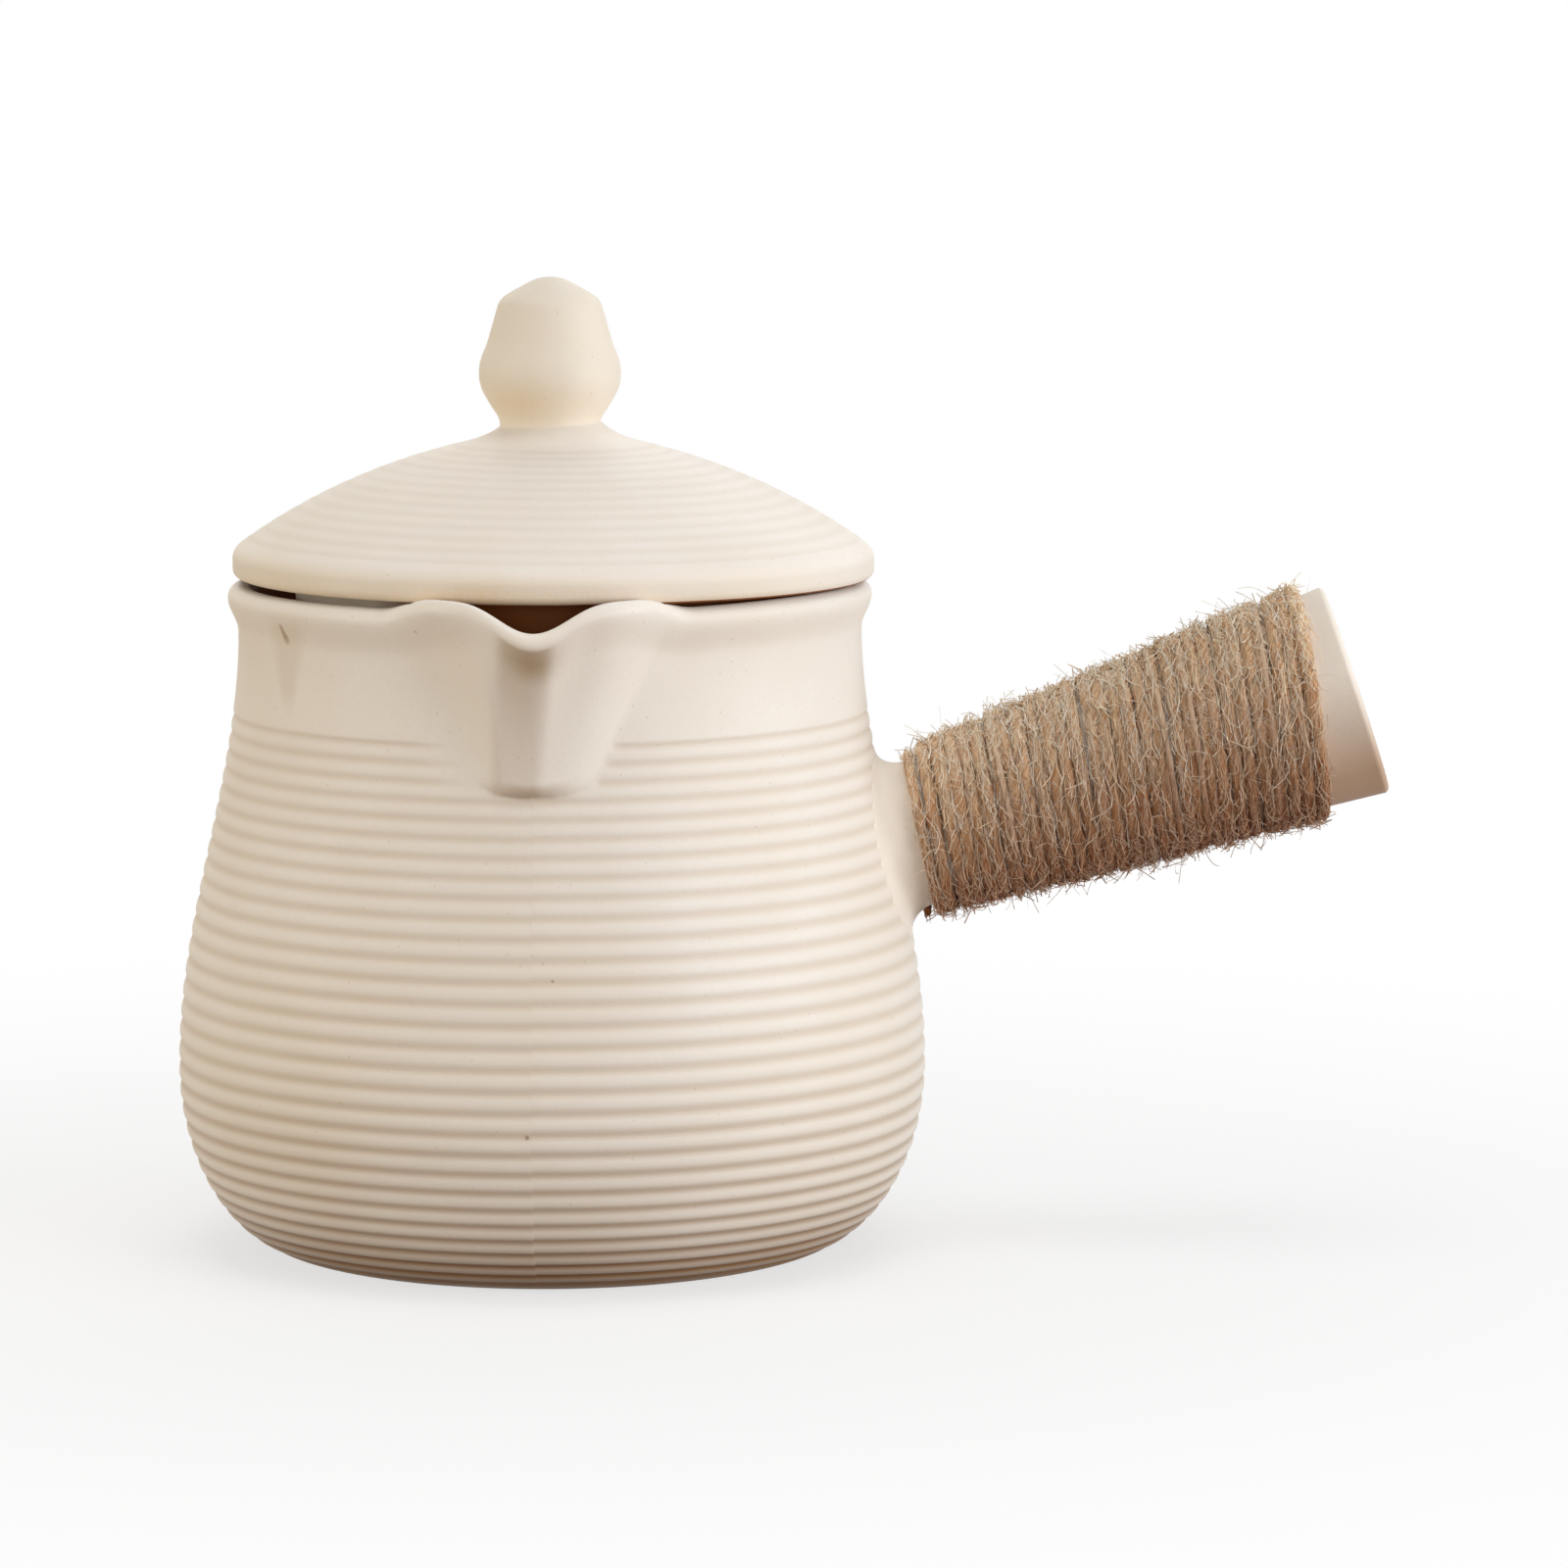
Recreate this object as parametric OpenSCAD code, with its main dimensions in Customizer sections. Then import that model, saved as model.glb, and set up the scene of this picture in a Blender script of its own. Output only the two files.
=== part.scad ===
// Clay teapot with a side handle: a ribbed pot with a pulled pouring lip, a hollow handle
// bound with twine, and a loose ribbed lid. Millimetres, +Z up. The origin is the centre of
// the foot on the pot's axis. The lip points to -Y and the handle to +X.

/* [Pot] */
// Radius of the foot where it meets the table
foot_r = 37; // [32:0.5:42]
// Width of the foot ring
foot_ring_w = 6; // [3:0.5:9]
// Depth of the recess inside the foot ring
foot_recess = 1.2; // [0.5:0.1:2]
// Greatest radius of the belly
belly_r = 51; // [48:0.5:58]
// Height of the belly's widest ring
belly_z = 25; // [20:0.5:30]
// How long the wall stays full above the belly
wall_fullness = 1.1; // [1:0.01:1.3]
// Radius of the waist under the rim
waist_r = 42.3; // [41:0.1:44]
// Outer radius of the rim
rim_r = 43.7; // [43:0.1:46]
// Height of the rim's top
rim_z = 91.5; // [88:0.1:100]
// Height of the flared neck, from the waist to the rim's top
neck_h = 8.8; // [6:0.1:12]
// Thickness of the rounded rim
rim_t = 3.7; // [3:0.1:4.5]
// Thickness of the wall
wall = 4; // [3:0.1:5]
// Thickness of the floor
floor_t = 5; // [4:0.1:8]
// Radius of the flat floor inside
floor_r = 30; // [24:0.5:36]

/* [Ribs] */
// Number of grooves round the pot
groove_count = 28; // [16:1:36]
// Smooth band between the waist and the highest groove
band_h = 8.9; // [5:0.1:14]
// Height of the lowest groove
groove_low_z = 5.2; // [3:0.1:10]
// How far the grooves crowd towards both ends, measured along the wall
groove_crowding = 1.3; // [0:0.1:2]
// Depth of a groove
groove_depth = 0.4; // [0.2:0.05:0.8]

/* [Pouring lip] */
// How far the lip's tip stands out from the rim
lip_reach = 7; // [3:0.1:9]
// How far the notch dips below the rim
lip_dip = 3; // [1:0.1:5]
// Half of the lip's width at the rim
lip_half_w = 18.4; // [15:0.1:22]
// Half of the distance between the lip's shoulders
shoulder_x = 12.8; // [9:0.1:14]
// How far the shoulders stand above the rim
shoulder_rise = 0.8; // [0.4:0.1:2]
// Thickness of the lip at its tip
lip_t = 3; // [2:0.1:4]
// Height of the lip, from the beak's lower end to the rim's top
beak_h = 24.7; // [20:0.1:30]
// Half of the beak's width at its lower end
beak_half_w = 5.8; // [4:0.1:8]
// How far the beak's lower end stands out from the wall
beak_step = 1.8; // [0.8:0.1:3]
// How hollow the beak's front line is, where 1 is straight
beak_sweep = 2.2; // [1:0.1:3]

/* [Handle] */
// Height of the handle's axis where it meets the wall
handle_z = 55.2; // [50:0.1:60]
// Rise of the handle above level, in degrees
handle_tilt = 18.4; // [5:0.1:25]
// Length of the handle along its axis
handle_len = 66; // [55:0.5:85]
// Radius of the handle near its root
handle_root_r = 9.5; // [8:0.1:12]
// Radius of the handle's open end
handle_end_r = 14.7; // [12:0.1:18]
// Thickness of the handle's wall
handle_wall = 3.4; // [2.5:0.1:5]
// Where the handle's hollow starts, along its axis
hollow_start = 8; // [6:0.5:20]
// Rounding of the open end's edge
handle_edge = 0.9; // [0.4:0.1:1.5]
// Length of the flared collar at the root
collar_len = 5; // [3:0.1:8]
// Swell of the collar where the axis meets the wall
collar_swell = 2; // [1:0.1:3]

/* [Twine] */
// Diameter of the twine
twine_d = 1.8; // [1.4:0.05:2]
// Distance from one turn of twine to the next
twine_step = 2.32; // [2.3:0.01:4]
// Where the first turn lies along the handle
twine_from = 4.5; // [4:0.1:10]
// Bare clay from the last turn to the handle's end
twine_bare_end = 5.8; // [5:0.1:12]
// Lean of the turns towards upright, in degrees
twine_lean = 12; // [0:0.5:15]
// Gap between the twine and the clay
twine_gap = 0.15; // [0.1:0.05:0.3]

/* [Lid] */
// How far the lid's edge stays inside the rim's
lid_inset = 0.2; // [0:0.1:1]
// Height of the lid's rounded edge
lid_edge_h = 4.6; // [4:0.1:6]
// Rounding under the lid's edge
lid_edge_round = 2; // [1:0.1:2.5]
// Steepness of the lid at its edge, in degrees
lid_edge_slope = 33; // [28:0.5:38]
// Steepness of the lid at the knob, in degrees
lid_top_slope = 13; // [8:0.5:16]
// Height of the knob's seat above the lid's underside
knob_seat_z = 18.6; // [17:0.1:21]
// Height of the hollow under the lid
lid_hollow_h = 13.8; // [10:0.1:14.5]
// Gap between the lid and the rim where they come closest
seat_gap = 0.3; // [0.25:0.05:0.5]
// Number of grooves on the lid
lid_groove_count = 13; // [8:1:16]
// Depth of a groove on the lid
lid_groove_depth = 0.3; // [0.15:0.05:0.5]
// Smooth band between the lid's edge and its first groove
lid_band = 2.6; // [1:0.1:5]

/* [Lid flange] */
// Gap between the narrowest part of the mouth and the ring that keeps the lid in it
flange_gap = 3.3; // [2:0.1:6]
// Thickness of that ring
flange_t = 3.4; // [2.5:0.1:5]
// How far it reaches down from the lid
flange_h = 9; // [5:0.1:14]
// Rounding of its lower edges
flange_round = 1.2; // [0.5:0.1:1.25]

/* [Knob] */
// Radius of the knob's foot on the lid
knob_foot_r = 8.5; // [8:0.1:10]
// Radius of the knob's neck
knob_neck_r = 7; // [6:0.1:7.5]
// Height of the neck above the seat
knob_neck_z = 2; // [1.5:0.1:3]
// Greatest radius of the knob
knob_r = 9.56; // [9:0.05:12]
// Height of its widest ring above the seat
knob_wide_z = 8.6; // [7:0.1:11]
// Radius of its shoulder under the cap
knob_shoulder_r = 7.4; // [6.5:0.1:8.5]
// Height of the shoulder above the seat
knob_shoulder_z = 17; // [15:0.1:18.5]
// Radius of the cap's edge
knob_cap_r = 6.1; // [5:0.1:6.4]
// Height of the cap's edge above the shoulder
knob_cap_h = 1.9; // [1:0.1:2.4]
// Height of the cap's crown above its edge
knob_crown_h = 2.7; // [1.5:0.1:4]

/* [Hidden] */
$fn = 96;
clay = [0.91, 0.86, 0.78];
jute = [0.62, 0.47, 0.32];

// Points along one stretch of a smooth outline
curve_steps = 8;
// Points along the pot's wall that the grooves are measured on
wall_steps = 90;
// Points on each rib from one groove to the next
rib_steps = 4;
// Points round the rim
rim_steps = 8;
// Distance over which a direction is taken on an outline
nudge = 0.05;
// Length by which a cut runs past what it cuts
past = 10;

rim_round = rim_t / 2;
rim_turn_z = rim_z - rim_round;
mouth_r = rim_r - rim_t;
throat_r = min(mouth_r, waist_r - wall);
waist_z = rim_z - neck_h;
groove_top_z = waist_z - band_h;
beak_z = rim_z - beak_h;
handle_root_x = outer_r(handle_z);
twine_turns = floor((handle_len - twine_bare_end - twine_from) / twine_step);
lid_r = rim_r - lid_inset;
flange_r = throat_r - flange_gap;
flange_in_r = flange_r - flange_t;
seat_r = rim_r - rim_round;
lid_tilt = atan(shoulder_rise / (2 * seat_r));

// Curves and lines

function mix(a, b, t) = a + (b - a) * t;
function ease(t) = t * t * (3 - 2 * t);
function bow(a, b, c, t) = mix(mix(a, b, t), mix(b, c, t), t);
function swing(a, b, c, d, t) = mix(bow(a, b, c, t), bow(b, c, d, t), t);
function steps(n) = [for (i = [0:n]) i / n];
function arc_points(centre, r, from, to, n) =
    [for (t = steps(n)) centre + r * [cos(mix(from, to, t)), sin(mix(from, to, t))]];

// Length run along a line up to each of its points
function leg(pts, i) = i + 1 < len(pts) ? norm(pts[i + 1] - pts[i]) : 0;
function runs(pts) = [for (i = 0, s = 0; i < len(pts); s = s + leg(pts, i), i = i + 1) s];
function column(pts, run, c) = [for (i = [0:len(pts) - 1]) [run[i], pts[i][c]]];
function spot(rs, zs, s) = [lookup(s, rs), lookup(s, zs)];
function into_clay(rs, zs, s) =
    let (d = spot(rs, zs, s + nudge) - spot(rs, zs, s - nudge))
    [d[1], -d[0]] / norm(d);

// Height of a round rib, 0 in the groove and 1 on its crest, at a share t of its width
function rib_height(t) = sqrt(1 - pow(2 * t - 1, 2));

// A line with round ribs: it sinks into the clay at each mark along its length
function ribbed(pts, marks, depth) =
    let (
        run = runs(pts),
        rs = column(pts, run, 0),
        zs = column(pts, run, 1)
    )
    [for (k = [0:len(marks) - 2], i = [0:rib_steps - (k == len(marks) - 2 ? 0 : 1)])
        let (
            t = i / rib_steps,
            s = mix(marks[k], marks[k + 1], t)
        )
        spot(rs, zs, s) + into_clay(rs, zs, s) * depth * (1 - rib_height(t))];

// The pot's outlines as radius against height

function wall_share(z) = ease(pow((z - belly_z) / (waist_z - belly_z), wall_fullness));
function outer_r(z) =
    z < belly_z ? mix(foot_r, belly_r, sqrt(1 - pow(1 - z / belly_z, 2)))
    : z < waist_z ? mix(belly_r, waist_r, wall_share(z))
    : mix(waist_r, rim_r, ease(min(1, (z - waist_z) / (rim_turn_z - waist_z))));
function inner_r(z) =
    z < belly_z ? mix(floor_r, belly_r - wall, sqrt(1 - pow((belly_z - z) / (belly_z - floor_t), 2)))
    : z < waist_z ? mix(belly_r, waist_r, wall_share(z)) - wall
    : mix(waist_r - wall, mouth_r, ease(min(1, (z - waist_z) / (rim_turn_z - waist_z))));

// Even levels, and levels from the belly down that lie closer where the wall turns in
function levels(from, to, n) = [for (t = steps(n)) mix(from, to, t)];
function foot_levels(to, n) = [for (t = steps(n)) mix(belly_z, to, sin(90 * t))];

function neck_line() = [for (z = levels(rim_turn_z, groove_top_z, 2 * curve_steps)) [outer_r(z), z]];
function groove_line() =
    [for (z = concat(levels(groove_top_z, belly_z, wall_steps), foot_levels(groove_low_z, wall_steps)))
        [outer_r(z), z]];
function groove_marks() =
    let (
        run = runs(groove_line()),
        whole = run[len(run) - 1],
        last = groove_count - 1
    )
    [for (k = [0:last]) whole * k / last - groove_crowding * sin(360 * k / last)];
function foot_line() =
    [for (t = steps(curve_steps))
        let (a = mix(acos(1 - groove_low_z / belly_z), 0, t))
        [mix(foot_r, belly_r, sin(a)), belly_z * (1 - cos(a))]];
function outside() =
    concat(neck_line(), ribbed(groove_line(), groove_marks(), groove_depth), foot_line());
function inside() =
    concat(
        [for (a = levels(0, 90, 2 * curve_steps))
            [mix(floor_r, belly_r - wall, sin(a)), mix(belly_z, floor_t, cos(a))]],
        [for (z = levels(belly_z, waist_z, 3 * curve_steps)) if (z > belly_z) [inner_r(z), z]],
        [for (z = levels(waist_z, rim_turn_z, curve_steps))
            if (z > waist_z && z < rim_turn_z) [inner_r(z), z]]
    );

// The pot without its hollow, which also trims the handle's root
module pot_fill() {
    rotate_extrude() polygon(concat([[0, 0], [0, rim_turn_z]], outside()));
}

module pot_wall() {
    ring_r = foot_r - foot_ring_w;
    rotate_extrude()
        polygon(concat(
            arc_points([seat_r, rim_turn_z], rim_round, 180, 0, rim_steps),
            [for (p = outside()) if (p[1] < rim_turn_z) p],
            [[ring_r, 0], [ring_r - foot_recess, foot_recess], [0, foot_recess], [0, floor_t]],
            inside()
        ));
}

// The lip's place in the wall: a gap that widens from the beak's lower end to the rim

function lip_x(z) = mix(beak_half_w, lip_half_w, (z - beak_z) / (rim_z - beak_z));

module lip_gap() {
    top = rim_z + past;
    rotate([90, 0, 0])
        linear_extrude(height = belly_r + past)
            polygon([
                [-lip_x(beak_z), beak_z], [lip_x(beak_z), beak_z], [lip_x(top), top], [-lip_x(top), top]
            ]);
}

module pot_body() {
    color(clay)
        difference() {
            pot_wall();
            lip_gap();
        }
}

// Pouring lip. A share t runs from -1 at its left edge over 0 at the beak to 1 at its right.

lip_columns = 40;
lip_wall_rows = 14;
lip_inside_rows = 10;
beak_end_rows = 4;
// Height over which the beak's lower end rounds off
beak_round = 1.6;
// How round the beak's keel is, from 1 for a sharp edge
keel_power = 1.6;
// Share of the lip's width that its inner channel takes
channel_share = 0.8;
tip_turn_z = rim_turn_z - lip_dip;

// Rise of the rim: a dip at the beak, a shoulder on both sides, and nothing at the edges
function rim_lift(t) =
    let (x = abs(t) * lip_half_w)
    x < shoulder_x
        ? mix(-lip_dip, shoulder_rise, (1 - cos(180 * x / shoulder_x)) / 2)
        : shoulder_rise * (1 + cos(180 * (x - shoulder_x) / (lip_half_w - shoulder_x))) / 2;
function beak_share(z) = min(1, max(0, (z - beak_z) / (tip_turn_z - beak_z)));
// Swell of the beak across its width: a keel between two creases that melts into the rim
function keel(t) = 1 - pow(min(1, abs(t)), keel_power);
function wave(t) = (1 + cos(180 * min(1, abs(t)))) / 2;
function lip_swell(t, z) = mix(keel(t), wave(t), ease(beak_share(z)));
function beak_end(z) = sqrt(1 - pow(1 - min(1, (z - beak_z) / beak_round), 2));
function beak_r(z) = mix(outer_r(beak_z) + beak_step, rim_r + lip_reach, pow(beak_share(z), beak_sweep));
function lip_out_r(t, z) = outer_r(z) + (beak_r(z) - outer_r(z)) * beak_end(z) * lip_swell(t, z);
function lip_in_r(t, z) =
    let (deep = rim_r + lip_reach - lip_t - mouth_r)
    inner_r(z) + deep * ease(beak_share(z)) * wave(t / channel_share);
function lip_point(t, r, z) = let (x = t * lip_x(z)) [x, -sqrt(r * r - x * x), z];

// Levels of the rows that climb the beak, closer together where its end rounds off
function beak_levels(top) =
    concat(
        [for (i = [0:beak_end_rows - 1]) beak_z + beak_round * (1 - cos(90 * i / beak_end_rows))],
        levels(beak_z + beak_round, top, lip_wall_rows)
    );
function lip_section(t) =
    let (
        turn_z = rim_turn_z + rim_lift(t),
        r_out = lip_out_r(t, turn_z),
        r_in = lip_in_r(t, turn_z)
    )
    concat(
        [for (z = beak_levels(turn_z)) lip_point(t, lip_out_r(t, z), z)],
        [for (i = [1:rim_steps - 1])
            let (a = 180 * i / rim_steps)
            lip_point(t, mix(r_in, r_out, (1 + cos(a)) / 2), turn_z + rim_round * sin(a))],
        [for (z = levels(turn_z, beak_z, lip_inside_rows)) lip_point(t, lip_in_r(t, z), z)]
    );

module pouring_lip() {
    shares = levels(-1, 1, lip_columns);
    rows = len(lip_section(0));
    points = [for (t = shares, p = lip_section(t)) p];
    skin = [for (c = [0:lip_columns - 1], i = [0:rows - 1])
        let (
            j = (i + 1) % rows,
            a = c * rows,
            b = a + rows
        )
        each [[a + i, b + i, b + j], [a + i, b + j, a + j]]];
    left_edge = [for (i = [0:rows - 1]) i];
    right_edge = [for (i = [rows - 1:-1:0]) lip_columns * rows + i];
    color(clay) polyhedron(points, concat(skin, [left_edge, right_edge]));
}

// Handle, in its own frame: its axis is Z from the pot's wall outwards, and -X is its top

module on_handle() {
    translate([handle_root_x, 0, handle_z]) rotate([0, 90 - handle_tilt, 0]) children();
}

// How far the handle starts inside the wall before the wall trims it
handle_tuck = 5;

function cone_r(s) = mix(handle_root_r, handle_end_r, s / handle_len);
function handle_r(s) = cone_r(s) + collar_swell * pow(max(0, 1 - s / collar_len), 2);
function hollow_r(s) = cone_r(s) - handle_wall;

module handle_tube() {
    edge_s = handle_len - handle_edge;
    outer_edge = [handle_end_r - handle_edge, edge_s];
    inner_edge = [hollow_r(handle_len) + handle_edge, edge_s];
    outer = concat(
        [for (s = levels(-handle_tuck, collar_len, 2 * curve_steps)) [handle_r(s), s]],
        arc_points(outer_edge, handle_edge, 0, 90, curve_steps)
    );
    hollow = concat(
        arc_points(inner_edge, handle_edge, 90, 180, curve_steps),
        [[hollow_r(hollow_start), hollow_start], [0, hollow_start], [0, -handle_tuck]]
    );
    color(clay)
        difference() {
            on_handle() rotate_extrude() polygon(concat(outer, hollow));
            pot_fill();
        }
}

// Twine, wound as one unbroken tube whose turns lean towards upright

turn_rings = 24;
twine_sides = 6;

// The clay under the twine's width, with room for the straight runs between its rings
function under_twine(s) = max(handle_r(s - twine_d / 2), handle_r(s + twine_d / 2));
function twine_r(s) = (under_twine(s) + twine_gap) / cos(180 / turn_rings) + twine_d / 2;
function twine_point(i) =
    let (
        a = 360 * i / turn_rings,
        mid = twine_from + twine_step * i / turn_rings,
        s = mid - tan(twine_lean) * twine_r(mid) * cos(a)
    )
    [twine_r(s) * cos(a), twine_r(s) * sin(a), s];
function unit(v) = v / norm(v);

twine_path =
    let (
        last = turn_rings * twine_turns,
        p = [for (i = [0:last]) twine_point(i)],
        head = p[0] + unit(p[0] - p[1]) * twine_d,
        tail = p[last] + unit(p[last] - p[last - 1]) * twine_d
    )
    concat([head], p, [tail]);

// The least gap between the twine and its next turn, on its points
twine_self_gap =
    min([for (i = [1:len(twine_path) - turn_rings - 2], d = [-2:2])
        let (j = i + turn_rings + d)
        if (j > i && j < len(twine_path)) norm(twine_path[j] - twine_path[i])]) - twine_d;
echo(twine_self_gap = twine_self_gap);

module tube(path, d, sides) {
    last = len(path) - 1;
    points = [for (i = [0:last])
        let (
            along = unit(path[min(i + 1, last)] - path[max(i - 1, 0)]),
            out = unit([path[i][0], path[i][1], 0]),
            side = unit(cross(along, out)),
            up = cross(side, along)
        )
        each [for (k = [0:sides - 1])
            let (a = 360 * k / sides)
            path[i] + d / 2 * (up * cos(a) + side * sin(a))]];
    skin = [for (i = [0:last - 1], k = [0:sides - 1])
        let (
            n = (k + 1) % sides,
            a = i * sides,
            b = a + sides
        )
        each [[a + k, b + k, b + n], [a + k, b + n, a + n]]];
    start = [for (k = [0:sides - 1]) k];
    end = [for (k = [sides - 1:-1:0]) last * sides + k];
    polyhedron(points, concat(skin, [start, end]));
}

module handle_twine() {
    color(jute) on_handle() tube(twine_path, twine_d, twine_sides);
}

// Lid, in its own frame: Z is 0 on its flat underside. It leans on the lip's shoulders.

module on_pot() {
    translate([0, seat_r, rim_z + seat_gap])
        rotate([-lid_tilt, 0, 0])
            translate([0, -seat_r, 0])
                children();
}

// The dome runs from the edge to the knob's seat, with its steepness given at both ends
dome_edge_r = lid_r - (lid_edge_h - lid_edge_round) / 2;
dome_turn_r =
    (knob_seat_z - lid_edge_h + tan(lid_top_slope) * knob_foot_r - tan(lid_edge_slope) * dome_edge_r)
    / (tan(lid_top_slope) - tan(lid_edge_slope));
dome_turn_z = lid_edge_h + tan(lid_edge_slope) * (dome_edge_r - dome_turn_r);
edge_turn_z = lid_edge_h - tan(lid_edge_slope) * (lid_r - dome_edge_r);

function dome_line() =
    [for (t = steps(wall_steps))
        bow([knob_foot_r, knob_seat_z], [dome_turn_r, dome_turn_z], [dome_edge_r, lid_edge_h], t)];
function dome_marks() =
    let (
        run = runs(dome_line()),
        whole = run[len(run) - 1] - lid_band
    )
    [for (k = [1:lid_groove_count]) whole * k / lid_groove_count];

module lid_dome() {
    edge = concat(
        [for (t = steps(curve_steps))
            bow([dome_edge_r, lid_edge_h], [lid_r, edge_turn_z], [lid_r, lid_edge_round], t)],
        arc_points([lid_r - lid_edge_round, lid_edge_round], lid_edge_round, 0, -90, curve_steps)
    );
    hollow = [for (t = steps(2 * curve_steps))
        bow([flange_in_r, 0], [flange_in_r / 2, lid_hollow_h], [0, lid_hollow_h], t)];
    color(clay)
        on_pot()
            rotate_extrude()
                polygon(concat(
                    [[0, knob_seat_z]],
                    [dome_line()[0]],
                    ribbed(dome_line(), dome_marks(), lid_groove_depth),
                    edge,
                    hollow
                ));
}

module lid_flange() {
    round_z = flange_round - flange_h;
    color(clay)
        on_pot()
            rotate_extrude()
                polygon(concat(
                    [[flange_in_r, 0], [flange_r, 0]],
                    arc_points([flange_r - flange_round, round_z], flange_round, 0, -90, curve_steps),
                    arc_points([flange_in_r + flange_round, round_z], flange_round, -90, -180, curve_steps)
                ));
}

// Knob. Each stretch of its outline leaves one ring and meets the next upright, and keeps that
// direction for a share of the way.

knob_foot_edge = 0.3;
neck_hold = 0.3;
under_hold = 0.55;
over_hold = 0.45;
shoulder_hold = 0.36;
// Height over which the cap's edge rounds in, and radius of its flat middle
cap_turn_h = 0.6;
crown_r = 1.5;

module lid_knob() {
    foot = [knob_foot_r, 0];
    neck = [knob_neck_r, knob_neck_z];
    wide = [knob_r, knob_wide_z];
    shoulder = [knob_shoulder_r, knob_shoulder_z];
    cap = [knob_cap_r, knob_shoulder_z + knob_cap_h];
    top = [0, cap[1] + knob_crown_h];
    rise = [0, knob_wide_z - knob_neck_z];
    fall = [0, knob_shoulder_z - knob_wide_z];
    cap_turn = [knob_shoulder_r, cap[1] - cap_turn_h];
    color(clay)
        on_pot()
            translate([0, 0, knob_seat_z])
                rotate_extrude()
                    polygon(concat(
                        [[0, 0]],
                        [for (t = steps(curve_steps)) bow(foot, [knob_neck_r, knob_foot_edge], neck, t)],
                        [for (t = steps(curve_steps)) if (t > 0)
                            swing(neck, neck + neck_hold * rise, wide - under_hold * rise, wide, t)],
                        [for (t = steps(curve_steps)) if (t > 0)
                            swing(wide, wide + over_hold * fall,
                                shoulder - shoulder_hold * fall, shoulder, t)],
                        [for (t = steps(curve_steps)) if (t > 0) bow(shoulder, cap_turn, cap, t)],
                        [for (t = steps(curve_steps)) if (t > 0) bow(cap, [crown_r, top[1]], top, t)]
                    ));
}

pot_body();
pouring_lip();
handle_tube();
handle_twine();
lid_dome();
lid_flange();
lid_knob();
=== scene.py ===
# %% [markdown]
# # A clay teapot with a side handle
#
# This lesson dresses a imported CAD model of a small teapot: a ribbed pot with a pulled pouring lip, a
# hollow handle bound with jute twine, and a loose domed lid. The CAD model is the fixed frame. It says
# where every piece is and how the lid moves, and nothing here moves or resizes it.

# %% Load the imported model
import math
from types import SimpleNamespace

import bpy
import numpy as np
from mathutils import Matrix, Vector


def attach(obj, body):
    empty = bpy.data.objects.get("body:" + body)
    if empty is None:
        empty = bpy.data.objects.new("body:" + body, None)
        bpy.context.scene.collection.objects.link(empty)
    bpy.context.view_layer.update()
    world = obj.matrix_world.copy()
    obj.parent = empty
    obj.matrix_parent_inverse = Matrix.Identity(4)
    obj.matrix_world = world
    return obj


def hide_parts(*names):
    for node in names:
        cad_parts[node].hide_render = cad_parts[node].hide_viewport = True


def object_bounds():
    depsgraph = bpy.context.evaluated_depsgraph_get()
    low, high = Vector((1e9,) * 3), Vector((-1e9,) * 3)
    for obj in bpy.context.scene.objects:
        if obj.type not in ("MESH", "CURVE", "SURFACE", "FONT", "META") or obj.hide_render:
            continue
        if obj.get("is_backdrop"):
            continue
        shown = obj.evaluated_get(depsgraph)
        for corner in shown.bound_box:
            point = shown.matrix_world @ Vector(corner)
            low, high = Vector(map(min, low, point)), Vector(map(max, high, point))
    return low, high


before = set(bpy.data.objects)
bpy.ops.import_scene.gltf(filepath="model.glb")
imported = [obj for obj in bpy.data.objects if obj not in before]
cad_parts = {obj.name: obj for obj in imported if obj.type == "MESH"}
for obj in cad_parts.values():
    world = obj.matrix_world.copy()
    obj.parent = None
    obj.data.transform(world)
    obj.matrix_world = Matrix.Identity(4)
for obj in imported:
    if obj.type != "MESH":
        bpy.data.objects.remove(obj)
cad_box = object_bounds()
MM = 0.001
print("CAD box in mm:", [[round(v / MM, 1) for v in corner] for corner in cad_box])

# %% [markdown]
# ## Node trees as sums
#
# A geometry tree or a shader is a formula drawn as boxes and threads. Drawn by hand, one line of maths
# becomes a screen of boxes, so this class lets a socket take part in ordinary Python sums. Each sign
# adds one Math node. Any other node comes from the method `node`, mostly through `geo` and `shade`, which
# know the first part of a node's type.


# %% A socket that joins in sums
def both_ways(operation):
    """The methods for one sign: with the socket first, and reflected, as in 1 - mask."""
    return (lambda wire, other: wire.math(operation, other),
            lambda wire, other: wire.shade("Math", {0: other, 1: wire}, operation=operation))


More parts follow.
